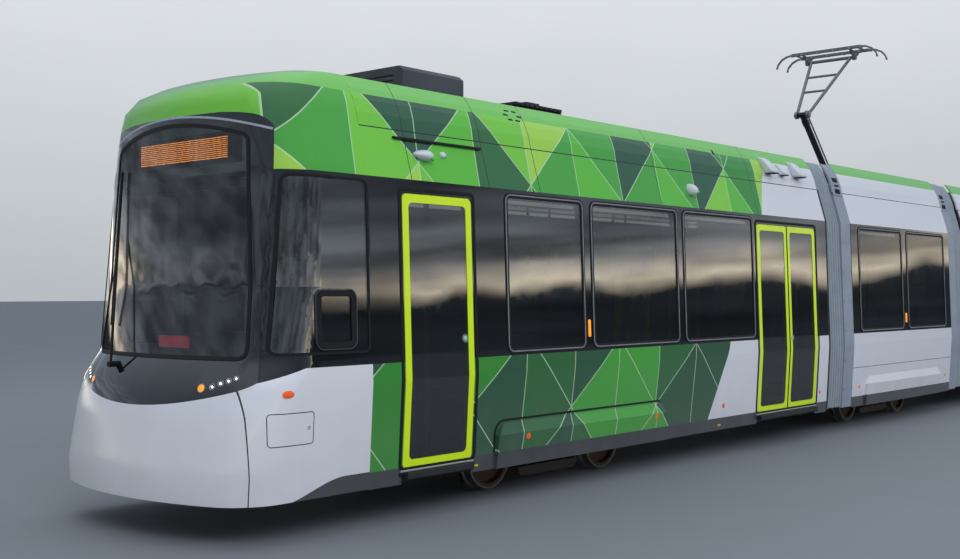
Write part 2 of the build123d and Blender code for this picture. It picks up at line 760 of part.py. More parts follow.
def panto_base():
    """Base frame on four insulators, with the lower arm's bearings."""
    x, z = PANTO_BASE_X, PANTO_BASE_Z
    foot = CANT + DECK
    rails = z - 150
    frame = None
    for y in (-430, 430):
        rail = box(x - 700, x + 450, y - 35, y + 35, rails - 35, rails + 35)
        frame = rail if frame is None else frame + rail
    for dx in (-700, 450):
        frame += box(x + dx - 35, x + dx + 35, -430, 430, rails - 35, rails + 35)
    for dx in (-640, 390):
        for y in (-430, 430):
            frame += rod((x + dx, y, foot), (x + dx, y, rails), 30)
            for level in (0.35, 0.5, 0.65, 0.8):
                shed = foot + (rails - foot) * level
                frame += rod((x + dx, y, shed), (x + dx, y, shed + 22), 62)
    frame += box(x - 60, x + 190, -430, 430, rails - 35, rails + 35)
    for y in (-235, 235):
        cheek = box(x - 55, x + 55, y - 20, y + 20, rails, z)
        cheek += rod((x, y - 20, z), (x, y + 20, z), 60)
        frame += cheek
    frame -= rod((x, -300, z), (x, 300, z), 31)
    lug_x, lug_z = x + GUIDE_DX, z + GUIDE_DZ
    for y in (-38, 38):
        outline = [(lug_x - 50, rails), (lug_x + 50, rails), (lug_x + 20, lug_z), (lug_x - 20, lug_z)]
        lug = profile_y(outline, y - 8, y + 8)
        frame += lug + rod((lug_x, y - 8, lug_z), (lug_x, y + 8, lug_z), 26)
    frame -= rod((lug_x, -60, lug_z), (lug_x, 60, lug_z), 13)
    return frame


def panto_lower_arm():
    """The lower arm with its cross shaft and the knee's pin."""
    base = (PANTO_BASE_X, 0, PANTO_BASE_Z)
    knee = (PANTO_KNEE_X, 0, PANTO_KNEE_Z)
    shaft = rod((base[0], -262, base[2]), (base[0], 262, base[2]), 30)
    hub = rod((base[0], -120, base[2]), (base[0], 120, base[2]), 52)
    tube = rod(base, knee, 46)
    head = rod((knee[0], -60, knee[2]), (knee[0], 60, knee[2]), 42)
    pin = rod((knee[0], -118, knee[2]), (knee[0], 118, knee[2]), 22)
    return shaft + hub + tube + head + pin


def panto_upper_arm():
    """The upper arm: two tubes that meet below the head, with ears round the knee's pin."""
    knee = (PANTO_KNEE_X, PANTO_KNEE_Z)
    head = (PANTO_HEAD_X, PANTO_HEAD_Z)
    arm = None
    for sign in (-1, 1):
        ear = rod((knee[0], sign * 72, knee[1]), (knee[0], sign * 112, knee[1]), 55)
        tube = rod((knee[0], sign * 92, knee[1]), (head[0], sign * 330, head[1]), 24)
        piece = ear + tube
        arm = piece if arm is None else arm + piece
    for share, half in UPPER_TUBES:
        x = knee[0] + (head[0] - knee[0]) * share
        z = knee[1] + (head[1] - knee[1]) * share
        arm += rod((x, -half, z), (x, half, z), 18)
    arm += rod((head[0], -345, head[1]), (head[0], 345, head[1]), 26)
    arm -= rod((knee[0], -200, knee[1]), (knee[0], 200, knee[1]), 23)
    return arm


def horn(x, sign):
    """The bent bar that runs down from a strip's end, square in section."""
    top = [(STRIP_HALF, 6), (STRIP_HALF + 90, 18), (STRIP_HALF + 180, 60)]
    top += [(HORN_HALF - 30, 130), (HORN_HALF, 210)]
    low = [(y - 8, drop + 26) for y, drop in top]
    low[-1] = (HORN_HALF - 26, 212)
    points = [(sign * y, STRIP_Z - drop) for y, drop in top + low[::-1]]
    return profile_x(points, x - 13, x + 13)


def panto_head():
    """Two contact strips with their horns on the sprung yoke."""
    x, z = PANTO_HEAD_X, PANTO_HEAD_Z
    head = None
    for y in (-390, 390):
        ear = rod((x, y - 25, z), (x, y + 25, z), 45)
        outline = [(x - 40, z), (x + 40, z), (x + 190, STRIP_Z - 40), (x - 190, STRIP_Z - 40)]
        web = profile_y(outline, y - 10, y + 10)
        piece = ear + web
        head = piece if head is None else head + piece
    for dx in (-180, 180):
        head += box(x + dx - 28, x + dx + 28, -STRIP_HALF, STRIP_HALF, STRIP_Z - 42, STRIP_Z)
        for sign in (-1, 1):
            head += horn(x + dx, sign)
    for sign in (-1, 1):
        y = sign * (STRIP_HALF - 60)
        head += rod((x - 180, y, STRIP_Z - 30), (x + 180, y, STRIP_Z - 30), 14)
    return head


def panto_rod():
    """The guide rod behind the lower arm, on the base's lug; its upper eye stands free."""
    start = (PANTO_BASE_X + GUIDE_DX, 0, PANTO_BASE_Z + GUIDE_DZ)
    end = (PANTO_KNEE_X + GUIDE_DX, 0, PANTO_KNEE_Z + GUIDE_DZ)
    tube = rod(start, end, 12)
    foot = rod((start[0], -25, start[2]), (start[0], 25, start[2]), 24)
    pin = rod((start[0], -46, start[2]), (start[0], 46, start[2]), 12)
    eye = rod((end[0], -20, end[2]), (end[0], 20, end[2]), 22)
    return tube + foot + pin + eye


def roof_box(x0, x1, half, top, base=CANT + DECK):
    """A roof container with a chamfered lid."""
    body = box(x0, x1, -half, half, base, top - 40)
    cap = profile_x([(half, top - 40), (half - 50, top), (-half + 50, top), (-half, top - 40)], x0, x1)
    return body + cap


# Roof containers: first x, last x, half width, top
END_ROOF_GEAR = (
    (-10200.0, -9400.0, 860.0, CREST + 210.0),
    (-8900.0, -8250.0, 560.0, CREST + 90.0),
    (-7900.0, -6100.0, 820.0, CREST - 110.0),
    (-5700.0, -3400.0, 820.0, CREST - 70.0),
)
CENTRE_ROOF_GEAR = ((-1700.0, -800.0, 820.0, CREST - 290.0), (1000.0, 1700.0, 820.0, CREST - 190.0))


def wiper():
    """One wiper: spindle, arm and blade in front of the windscreen."""
    seam = -CAB_SEAM
    foot = SCREEN_LOW - 80.0
    spindle = rod((seam - 1310, 420.0, foot), (seam - 1200, 420.0, foot), 24)
    arm = rod((seam - 1290, 420.0, foot), (seam - 1045, 700.0, SCREEN_LOW + 980), 11)
    blade = rod((seam - 1112, 690.0, SCREEN_LOW + 230), (seam - 1000, 712.0, SCREEN_SHOULDER - 190), 13)
    return spindle + arm + blade - CAB_OUTER


def build():
    """Every node of the tram by name."""
    nodes = {}
    nose, mask, screen, cab_side, cab_glass, cab_roof, lamps = cab_front()
    x = BOGIE_X[0]
    wall = side_wall(-CAB_SEAM, -MODULE_END, WINDOWS, (SINGLE_DOOR, DOUBLE_DOOR))
    leaf_list = []
    pane_list = []
    for door, count in ((SINGLE_DOOR, 1), (DOUBLE_DOOR, 2)):
        for x0, x1 in leaves(door, count):
            leaf, pane = door_leaf(x0, x1)
            leaf_list.append(leaf)
            pane_list.append(pane)
    cover = bogie_cover(x, COVER_FRONT, COVER_REAR)
    spans = (
        (-CAB_SEAM, SINGLE_DOOR[0]),
        (SINGLE_DOOR[1], x - COVER_FRONT),
        (x + COVER_REAR, DOUBLE_DOOR[0]),
        (DOUBLE_DOOR[1], -MODULE_END),
    )
    skirts = [skirt(x0, x1) for x0, x1 in spans]
    sills = [sill(door) for door in (SINGLE_DOOR, DOUBLE_DOOR)]
    seats = [seat(sx, y, base, facing) for sx, base, facing in SEATS for y in (-SEAT_Y, SEAT_Y)]
    poles = [pole(px, y) for px, half in POLES for y in (-half, half)]
    gear = [roof_box(*row) for row in END_ROOF_GEAR]
    end = {
        "side_walls": group(both_sides(wall)),
        "roof": roof_section(-CAB_SEAM, -MODULE_END),
        "underframe": end_underframe(x),
        "skirts": group(both_sides(cover, *skirts)),
        "door_sills": group(both_sides(*sills)),
        "nose": nose,
        "cab_mask": mask,
        "cab_sides": group([cab_side]),
        "windscreen": screen,
        "cab_roof": cab_roof,
        "side_glass": group(both_sides(*side_glass(WINDOWS), *pane_list) + cab_glass),
        "doors": group(both_sides(*leaf_list)),
        "cab_interior": cab_interior(),
        "seats": group(seats + poles),
        "roof_gear": group(gear),
        "headlamps": group(lamps),
        "gangway_frame": gangway_frame(),
        "wiper": wiper(),
        "bellows": bellows(-MODULE_END + 60, -CENTRE_END - PORTAL_DEPTH),
    }
    for name, shape in end.items():
        nodes["front_" + name] = shape
        nodes["rear_" + name] = turned(shape)
    centre_wall = side_wall(-CENTRE_END, CENTRE_END, CENTRE_WINDOWS, ())
    nodes["centre_side_walls"] = group(both_sides(centre_wall))
    nodes["centre_side_glass"] = group(both_sides(*side_glass(CENTRE_WINDOWS)))
    nodes["centre_roof"] = roof_section(-CENTRE_END, CENTRE_END)
    floor = underframe_section(-CENTRE_END, CENTRE_END) - well(0) + bogie_hood(0) + pivot_pin(0)
    nodes["centre_underframe"] = floor
    centre_cover = bogie_cover(0, WELL_HALF, WELL_HALF)
    ends = [skirt(-CENTRE_END, -WELL_HALF), skirt(WELL_HALF, CENTRE_END)]
    nodes["centre_skirts"] = group(both_sides(centre_cover, *ends))
    centre_seats = [seat(sx, y, base, facing) for sx, base, facing in CENTRE_SEATS for y in (-SEAT_Y, SEAT_Y)]
    nodes["centre_seats"] = group(centre_seats)
    nodes["centre_roof_gear"] = group([roof_box(*row) for row in CENTRE_ROOF_GEAR])
    portal = ring(-CENTRE_END - PORTAL_DEPTH, -CENTRE_END, 6.0, GANGWAY_HALF, GANGWAY_TOP)
    portal = portal + turntable(-PIVOT_X)
    nodes["centre_portals"] = group([portal, turned(portal)])
    for name, bogie_x in zip(BOGIE_NAMES, BOGIE_X):
        nodes[name + "_bogie_frame"] = bogie_frame(bogie_x)
        for number, sign in ((1, -1), (2, 1)):
            nodes[f"{name}_wheelset_{number}"] = wheelset(bogie_x + sign * WHEELBASE / 2)
    nodes["panto_base"] = panto_base()
    nodes["panto_lower_arm"] = panto_lower_arm()
    nodes["panto_upper_arm"] = panto_upper_arm()
    nodes["panto_head"] = panto_head()
    nodes["panto_guide_rod"] = panto_rod()
    return nodes


os.makedirs("parts", exist_ok=True)
for node_name, node_shape in build().items():
    export_step(node_shape, f"parts/{node_name}.step")
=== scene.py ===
"""Dresses the articulated tram: finishes, seals, lamps, bellows, roof and cab fittings."""

import json
from math import cos, pi, radians, sin, sqrt

import bmesh
import bpy
from mathutils import Matrix, Vector
from mathutils.bvhtree import BVHTree

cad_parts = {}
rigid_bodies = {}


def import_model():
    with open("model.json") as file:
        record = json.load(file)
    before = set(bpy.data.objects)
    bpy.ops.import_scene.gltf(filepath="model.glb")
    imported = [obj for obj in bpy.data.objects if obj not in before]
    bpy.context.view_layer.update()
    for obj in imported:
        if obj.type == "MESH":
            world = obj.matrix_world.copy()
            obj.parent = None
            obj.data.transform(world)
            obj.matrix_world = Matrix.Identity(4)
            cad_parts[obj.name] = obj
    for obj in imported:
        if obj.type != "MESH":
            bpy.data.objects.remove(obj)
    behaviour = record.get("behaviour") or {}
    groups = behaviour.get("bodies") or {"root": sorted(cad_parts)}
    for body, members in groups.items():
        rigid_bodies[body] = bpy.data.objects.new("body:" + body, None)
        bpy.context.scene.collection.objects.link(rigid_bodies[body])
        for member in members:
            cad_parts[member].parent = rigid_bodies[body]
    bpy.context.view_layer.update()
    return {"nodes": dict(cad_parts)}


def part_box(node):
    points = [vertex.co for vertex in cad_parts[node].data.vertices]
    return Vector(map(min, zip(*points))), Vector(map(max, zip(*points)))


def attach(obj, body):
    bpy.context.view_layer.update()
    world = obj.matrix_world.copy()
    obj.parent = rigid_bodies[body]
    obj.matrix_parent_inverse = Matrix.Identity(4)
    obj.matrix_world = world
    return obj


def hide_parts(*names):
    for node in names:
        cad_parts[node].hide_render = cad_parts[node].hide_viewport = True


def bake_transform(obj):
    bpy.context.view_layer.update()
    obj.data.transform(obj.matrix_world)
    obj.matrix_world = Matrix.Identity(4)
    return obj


bl_info = {
    "name": "Articulated tram",
    "version": (1, 0, 0),
    "blender": (4, 5, 0),
    "location": "3D View > Sidebar > Tram",
    "description": "Finishes and fittings of a low-floor articulated tram",
    "category": "Object",
}

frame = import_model()
NODES = frame["nodes"]

# Heights in this file are above the rail head, as in the part's source
RAIL = 0.028
ENDS = (("front", -1), ("rear", 1))
SIDES = (-1, 1)

# Body section: height, half width
SECTION = (
    (0.285, 1.272),
    (0.425, 1.282),
    (1.150, 1.325),
    (2.820, 1.268),
    (3.240, 1.150),
    (3.358, 1.123),
    (3.469, 1.081),
    (3.573, 1.023),
    (3.670, 0.950),
)
WINDOWS = ((-9.280, -8.120), (-7.955, -6.380), (-6.220, -4.670))
CENTRE_WINDOWS = ((-1.600, -0.110), (0.110, 1.600))
WINDOW_LOW, WINDOW_HIGH = 1.345, 2.760
SINGLE_DOOR = (-10.630, -9.760)
DOUBLE_DOOR = (-4.550, -2.980)
DOOR_LOW, DOOR_HIGH = 0.410, 2.700


def half_width(height):
    """Half width of the body at a height above the rail."""
    for (low, low_width), (high, high_width) in zip(SECTION, SECTION[1:]):
        if height <= high:
            share = max(0.0, (height - low) / (high - low))
            return low_width + (high_width - low_width) * share
    return SECTION[-1][1]


def linear(hex_colour):
    """A six-digit sRGB colour as linear RGBA."""
    channels = []
    for start in (0, 2, 4):
        value = int(hex_colour[start : start + 2], 16) / 255
        channels.append(value / 12.92 if value <= 0.04045 else ((value + 0.055) / 1.055) ** 2.4)
    return (*channels, 1.0)


def put(tree, kind, *inputs, named=None, **settings):
    """Adds one shader node: settings, then inputs in order or by name (value, hex colour, node or socket)."""
    made = tree.nodes.new("ShaderNode" + kind)
    for key, value in settings.items():
        setattr(made, key, value)
    pairs = list(zip(made.inputs, inputs))
    pairs += [(made.inputs[key], value) for key, value in (named or {}).items()]
    for socket, value in pairs:
        if value is None:
            continue
        if isinstance(value, bpy.types.Node):
            tree.links.new(value.outputs[0], socket)
        elif isinstance(value, bpy.types.NodeSocket):
            tree.links.new(value, socket)
        else:
            socket.default_value = linear(value) if isinstance(value, str) else value
    return made


def new_material(name):
    """An empty node material and its tree."""
    made = bpy.data.materials.new(name)
    made.use_nodes = True
    made.node_tree.nodes.clear()
    return made, made.node_tree


def close_material(made, **named):
    """Links the Principled shader with its named inputs to the output and hands the material back."""
    tree = made.node_tree
    words = {key.replace("_", " "): value for key, value in named.items()}
    shader = put(tree, "BsdfPrincipled", named=words)
    put(tree, "OutputMaterial", shader)
    return made


def maths(tree, operation, *inputs):
    """One sum, comparison or other operation on numbers."""
    return put(tree, "Math", *inputs, operation=operation)


def mix(tree, share, first, second):
    """A mix of two colours."""
    return put(tree, "MixRGB", share, first, second)


def remap(tree, value, *limits, **settings):
    """A value carried from one range (two limits) to another (two more)."""
    return put(tree, "MapRange", value, *limits, **settings)


def bump(tree, strength, depth, source):
    """A normal bent by a pattern of some depth in metres."""
    return put(tree, "Bump", strength, depth, None, source)


def object_place(tree):
    """Object coordinates, in metres."""
    return put(tree, "TexCoord").outputs["Object"]


def side_view(tree):
    """Object axes, distance from the middle of the tram and height above the rail."""
    axes = put(tree, "SeparateXYZ", object_place(tree))
    along = maths(tree, "ABSOLUTE", axes.outputs["X"])
    height = maths(tree, "SUBTRACT", axes.outputs["Z"], RAIL)
    return axes, along, height


def colour_ramp(tree, share, first, last, *between):
    """A ramp through stops of position and colour."""
    ramp = put(tree, "ValToRGB", share)
    stops = ramp.color_ramp.elements
    for stop, (at, colour) in zip(stops, (first, last)):
        stop.position, stop.color = at, linear(colour)
    for at, colour in between:
        stops.new(at).color = linear(colour)
    return ramp


def grain(tree, scale, detail=2.0, rough=0.5):
    """Noise on object coordinates; scale is in features per metre."""
    return put(tree, "TexNoise", object_place(tree), None, scale, detail, rough)


def shown(colour):
    """A colour of the look group as sRGB hex digits."""
    digits = []
    for value in colour:
        step = value * 12.92 if value <= 0.0031308 else 1.055 * value ** (1 / 2.4) - 0.055
        digits.append(f"{round(min(1.0, max(0.0, step)) * 255):02X}")
    return "".join(digits)


def plain_finish(name, colour, second, roughness, metallic=0.0, scale=30.0, relief=0.0, coat=0.0):
    """A finish that varies softly between two colours, with matching roughness and fine bump."""
    made, tree = new_material(name)
    cloud = grain(tree, scale)
    tone = mix(tree, cloud, colour, second)
    low, high = roughness
    spread = remap(tree, cloud, 0.25, 0.75, low, high)
    parts = {"Base_Color": tone, "Roughness": spread, "Metallic": metallic}
    if metallic < 0.5:
        parts["IOR"] = 1.5
    if coat:
        parts["Coat_Weight"] = coat
        parts["Coat_Roughness"] = 0.04
    if relief:
        fine = grain(tree, scale * 6, 3.0)
        parts["Normal"] = bump(tree, relief, 0.001, fine)
    return close_material(made, **parts)


# Colours of the livery, in sRGB
GREENS = ("86D33C", "2A6B35", "5CC033", "A6D94A", "359030", "24583A", "76CC38", "46A838")
WHITE = "E6E7EA"
BLACK = "0E1013"
PALE_LINE = "C4E3B4"
SKIRT = "3A3D42"
CREST_GREEN = "74C653"
JOINT_GREY = "2A2C2E"
SEAM_BLACK = "141618"
LINING_GREY = "9EA2A6"
DUST = "8A867E"
# Painted areas: heights above the rail, and distances from the tram's middle
CREST_LOW = 3.52
FAIRING_FOOT = 3.24
SKIRT_TOP = 0.432
CENTRE_JOINT = 0.826
CENTRE_END = 1.86
CAB_START = 11.0
NOSE_JOINT, NOSE_TOP = 12.15, 1.150
GREEN_END, GREEN_LEAN = 5.95, 0.55
# The dark lower edge rises behind the nose: distances and heights of its two ends
EDGE_RISE = (11.95, 11.25, 0.270, SKIRT_TOP)
CAB_SIDE_GREEN = 2.5
# From here the panels lean in to the roof, so their inner side is told by height too
LEAN_START = 2.6
# Foot of the mask at the cab side: a point of its line, and the slope
MASK_FOOT = (12.046, 1.198)
MASK_SLOPE = 0.29
# Upper corner of the mask: centre of its arc and radius
MASK_CORNER = (12.01, 3.070)
MASK_RADIUS = 0.225
# Panel joints of the roof fairing, distance from the tram's middle
ROOF_SEAMS = (10.5, 9.5, 8.76, 6.63, 4.49)
BAND_LOW, BAND_HIGH = 1.300, 2.820
SEAM_HALF = 0.004
# The facets: along, up and shift of each family of lines, in facets per metre
FACETS = ((0.62, 0.78, 0.25), (0.71, -0.66, 0.60), (1.33, 0.12, 0.85))
LINE_WIDTH = 0.011


def compare(tree, low, value, high):
    """1 where a value lies between two limits."""
    above = maths(tree, "GREATER_THAN", value, low)
    below = maths(tree, "LESS_THAN", value, high)
    return maths(tree, "MULTIPLY", above, below)


def facet_colours(tree, along, height):
    """Flat green facets between three families of straight lines, and the pale lines themselves."""
    cells = []
    line = None
    for across, rise, shift in FACETS:
        first = maths(tree, "MULTIPLY_ADD", along, across, shift)
        second = maths(tree, "MULTIPLY_ADD", height, rise, first)
        cells.append(maths(tree, "FLOOR", second))
        part = maths(tree, "FRACT", second)
        steep = sqrt(across**2 + rise**2)
        near = maths(tree, "LESS_THAN", part, LINE_WIDTH * steep)
        line = near if line is None else maths(tree, "MAXIMUM", line, near)
    cell = put(tree, "CombineXYZ", *cells)
    pick = put(tree, "TexWhiteNoise", cell, noise_dimensions="3D")
    ramp = put(tree, "ValToRGB", pick)
    ramp.color_ramp.interpolation = "CONSTANT"
    stops = ramp.color_ramp.elements
    for count, green in enumerate(GREENS):
        place = count / len(GREENS)
        stop = stops[count] if count < 2 else stops.new(place)
        stop.position = place
        stop.color = linear(green)
    lines = maths(tree, "MULTIPLY", line, 0.8)
    return mix(tree, lines, ramp, PALE_LINE)


def livery(name, kind, look):
    """Two-pack coach paint, glossy under a clear coat: the colour areas lie in side view."""
    made, tree = new_material(name)
    axes, along, height = side_view(tree)
    green = facet_colours(tree, along, height)
    crest = maths(tree, "GREATER_THAN", height, CREST_LOW)
    if kind in ("roof", "cab_roof"):
        green = mix(tree, crest, green, CREST_GREEN)
    white = (*look.white, 1.0)
    dark = (*look.skirt, 1.0)
    # The green ends at a slanted edge before the double doors
    slope = maths(tree, "MULTIPLY_ADD", height, -GREEN_LEAN, GREEN_END)
    beyond = maths(tree, "GREATER_THAN", along, slope)
    before = maths(tree, "LESS_THAN", along, CAB_START)
    if kind in ("wall", "skirt"):
        area = maths(tree, "MULTIPLY", beyond, before)
    elif kind == "roof":
        area = maths(tree, "MAXIMUM", beyond, crest)
    elif kind == "cab_side":
        area = maths(tree, "GREATER_THAN", height, CAB_SIDE_GREEN)
    elif kind == "cab_roof":
        area = 1.0
    else:
        area = 0.0
    tone = mix(tree, area, white, green)
    band = None
    if kind in ("wall", "cab_side"):
        edge = BAND_LOW
        if kind == "cab_side":
            rise = maths(tree, "MULTIPLY_ADD", along, -MASK_SLOPE, MASK_FOOT[1] + MASK_SLOPE * MASK_FOOT[0])
            edge = maths(tree, "MINIMUM", rise, BAND_LOW)
        band = compare(tree, edge, height, BAND_HIGH)
        tone = mix(tree, band, tone, BLACK)
    if kind == "wall":
        # Panel joint of the centre module
        short = maths(tree, "LESS_THAN", along, CENTRE_END)
        joint = maths(tree, "COMPARE", height, CENTRE_JOINT, SEAM_HALF)
        joint = maths(tree, "MULTIPLY", joint, short)
        tone = mix(tree, joint, tone, JOINT_GREY)
    if kind == "skirt":
        lower = maths(tree, "LESS_THAN", height, SKIRT_TOP)
        tone = mix(tree, lower, tone, dark)
    if kind in ("cab_side", "nose"):
        # The dark lower edge rises behind the nose, and a fine joint parts nose and side
        rise = remap(tree, along, *EDGE_RISE, interpolation_type="SMOOTHSTEP")
        lower = maths(tree, "LESS_THAN", height, rise)
        tone = mix(tree, lower, tone, dark)
        joint = maths(tree, "COMPARE", along, NOSE_JOINT, SEAM_HALF)
        under = maths(tree, "LESS_THAN", height, NOSE_TOP)
        joint = maths(tree, "MULTIPLY", joint, under)
        tone = mix(tree, joint, tone, JOINT_GREY)
    if kind == "roof":
        seam = None
        for at in ROOF_SEAMS:
            near = maths(tree, "COMPARE", along, at, SEAM_HALF)
            seam = near if seam is None else maths(tree, "MAXIMUM", seam, near)
        lip = maths(tree, "COMPARE", height, FAIRING_FOOT, 0.005)
        seam = maths(tree, "MAXIMUM", seam, lip)
        tone = mix(tree, seam, tone, SEAM_BLACK)
    # The inner side of the panels is light grey lining
    axis = maths(tree, "SUBTRACT", along, CAB_START)
    axis = maths(tree, "MAXIMUM", axis, 0.0)
    sign = maths(tree, "SIGN", axes.outputs["X"])
    axis = maths(tree, "MULTIPLY", axis, sign)
    above = maths(tree, "SUBTRACT", height, LEAN_START)
    above = maths(tree, "MAXIMUM", above, 0.0)
    outwards = put(tree, "CombineXYZ", axis, axes.outputs["Y"], above)
    normal = put(tree, "NewGeometry").outputs["True Normal"]
    turned = put(tree, "VectorMath", outwards, normal, operation="DOT_PRODUCT").outputs["Value"]
    inner = maths(tree, "LESS_THAN", turned, -0.08)
    tone = mix(tree, inner, tone, LINING_GREY)
    # Road film: a little dust low on the panels
    cloud = grain(tree, 3.0, 4.0)
    low = remap(tree, height, 0.25, 1.1, 0.30, 0.02)
    film = maths(tree, "MULTIPLY", low, cloud)
    tone = mix(tree, film, tone, DUST)
    dull = remap(tree, film, 0.0, 0.3, 0.15, 0.30)
    if band:
        dull = mix(tree, band, dull, (0.03, 0.03, 0.03, 1.0))
    if kind == "nose":
        # Fibreglass under the paint: softer than the steel panels
        dull = maths(tree, "ADD", dull, 0.12)
    fine = grain(tree, 90.0, 2.0)
    orange_peel = bump(tree, 0.04, 0.001, fine)
    return close_material(
        made, Base_Color=tone, Roughness=dull, Normal=orange_peel, IOR=1.5, Coat_Weight=0.5,
        Coat_Roughness=0.16 if kind == "nose" else 0.03
    )


def mask_finish(name):
    """Gloss acrylic cap over the mask; the green of the roof comes round its upper corners."""
    made, tree = new_material(name)
    _, along, height = side_view(tree)
    back = maths(tree, "SUBTRACT", MASK_CORNER[0], along)
    back = maths(tree, "MAXIMUM", back, 0.0)
    above = maths(tree, "SUBTRACT", height, MASK_CORNER[1])
    above = maths(tree, "MAXIMUM", above, 0.0)
    corner = put(tree, "CombineXYZ", back, above, 0.0)
    reach = put(tree, "VectorMath", corner, operation="LENGTH").outputs["Value"]
    outside = maths(tree, "GREATER_THAN", reach, MASK_RADIUS)
    cloud = grain(tree, 6.0)
    black = mix(tree, cloud, "0B0C0E", "121417")
    tone = mix(tree, outside, black, facet_colours(tree, along, height))
    dull = remap(tree, cloud, 0.25, 0.75, 0.03, 0.07)
    return close_material(
        made, Base_Color=tone, Roughness=dull, IOR=1.6, Coat_Weight=1.0, Coat_Roughness=0.03
    )


def tinted_glass(name, tint, alpha):
    """Float glass with a grey tint: a glossy face that still lets the inside show."""
    made, tree = new_material(name)
    cloud = grain(tree, 1.3, 1.0)
    shade = mix(tree, cloud, tint, "0A0C0E")
    smear = remap(tree, grain(tree, 9.0, 3.0), 0.4, 0.8, 0.015, 0.06)
    return close_material(made, Base_Color=shade, Roughness=smear, IOR=2.2, Alpha=alpha)


def lit(name, colour, second, strength, cells=0.0):
    """A lamp or display face that glows, or a face given a painted glow; cells per metre give an LED raster
    on the second colour.
    """
    made, tree = new_material(name)
    if cells:
        place = object_place(tree)
        dots = put(tree, "TexVoronoi", place, named={"Scale": cells, "Randomness": 0.0})
        share = maths(tree, "GREATER_THAN", dots, 0.33)
    else:
        share = grain(tree, 40.0)
    shade = mix(tree, share, colour, second)
    return close_material(
        made, Base_Color=shade, Roughness=0.25, IOR=1.5, Emission_Color=shade, Emission_Strength=strength
    )


WHEEL_CENTRE = 0.300
# Radii between which the web turns bright towards the tread
BRIGHT = (0.285, 0.299)


def wheel_steel(name, axle_x):
    """Rolled wheel steel: bright where the tread and flange run, brown and dull on the web."""
    made, tree = new_material(name)
    place = object_place(tree)
    turned = put(tree, "Mapping", place, (-axle_x, 0.0, -WHEEL_CENTRE - RAIL))
    flat = put(tree, "VectorMath", turned, (1.0, 0.0, 1.0), operation="MULTIPLY")
    radius = put(tree, "VectorMath", flat, operation="LENGTH").outputs["Value"]
    cloud = grain(tree, 25.0, 4.0)
    rust = mix(tree, cloud, "4E423A", "75604E")
    bright = remap(tree, radius, *BRIGHT, 0.0, 1.0)
    tone = mix(tree, bright, rust, "9C9A96")
    rough = remap(tree, bright, 0.0, 1.0, 0.65, 0.28)
    fine = grain(tree, 160.0, 3.0)
    normal = bump(tree, 0.15, 0.001, fine)
    return close_material(made, Base_Color=tone, Roughness=rough, Metallic=0.85, Normal=normal)


def woven(name, colour, second, thread):
    """Moquette seat cloth: short dense pile in small blocks; thread is the block's size in metres."""
    made, tree = new_material(name)
    place = object_place(tree)
    checks = put(tree, "TexChecker", place, colour, second, 1 / thread)
    pile = put(tree, "TexNoise", place, None, 700.0, 2.0, 0.6)
    tone = mix(tree, pile, checks, "1B2A3A")
    normal = bump(tree, 0.4, 0.002, pile)
    return close_material(made, Base_Color=tone, Roughness=0.9, Normal=normal, Sheen_Weight=0.3)


FOLDS = 6
# Where the bellows start and how far they reach, from the middle of the tram
FOLD_START, FOLD_REACH = 2.150, 0.440


def folded_cloth(name):
    """Rubber-coated bellows cloth: painted highlight along the outer folds and painted shade in the valleys,
    with patches of dust over them.
    """
    made, tree = new_material(name)
    _, along, _ = side_view(tree)
    # A valley lies in the middle of each fold
    fold = maths(tree, "MULTIPLY_ADD", along, FOLDS / FOLD_REACH, -FOLD_START * FOLDS / FOLD_REACH)
    share = maths(tree, "FRACT", fold)
    # Painted light and shade: the outer folds pale as if lit, their slopes mid grey and the valleys dark as
    # if shaded
    edge, slope, valley_shade = "B4BEC4", "8A959C", "2C3439"
    ramp = colour_ramp(tree, share, (0.0, edge), (1.0, edge), (0.22, slope), (0.5, valley_shade), (0.78, slope))
    cloud = grain(tree, 8.0, 4.0)
    dust = remap(tree, cloud, 0.4, 0.8, 0.0, 0.25)
    tone = mix(tree, dust, ramp, "77736B")
    weave = grain(tree, 400.0, 2.0)
    normal = bump(tree, 0.2, 0.001, weave)
    return close_material(made, Base_Color=tone, Roughness=0.70, Normal=normal)


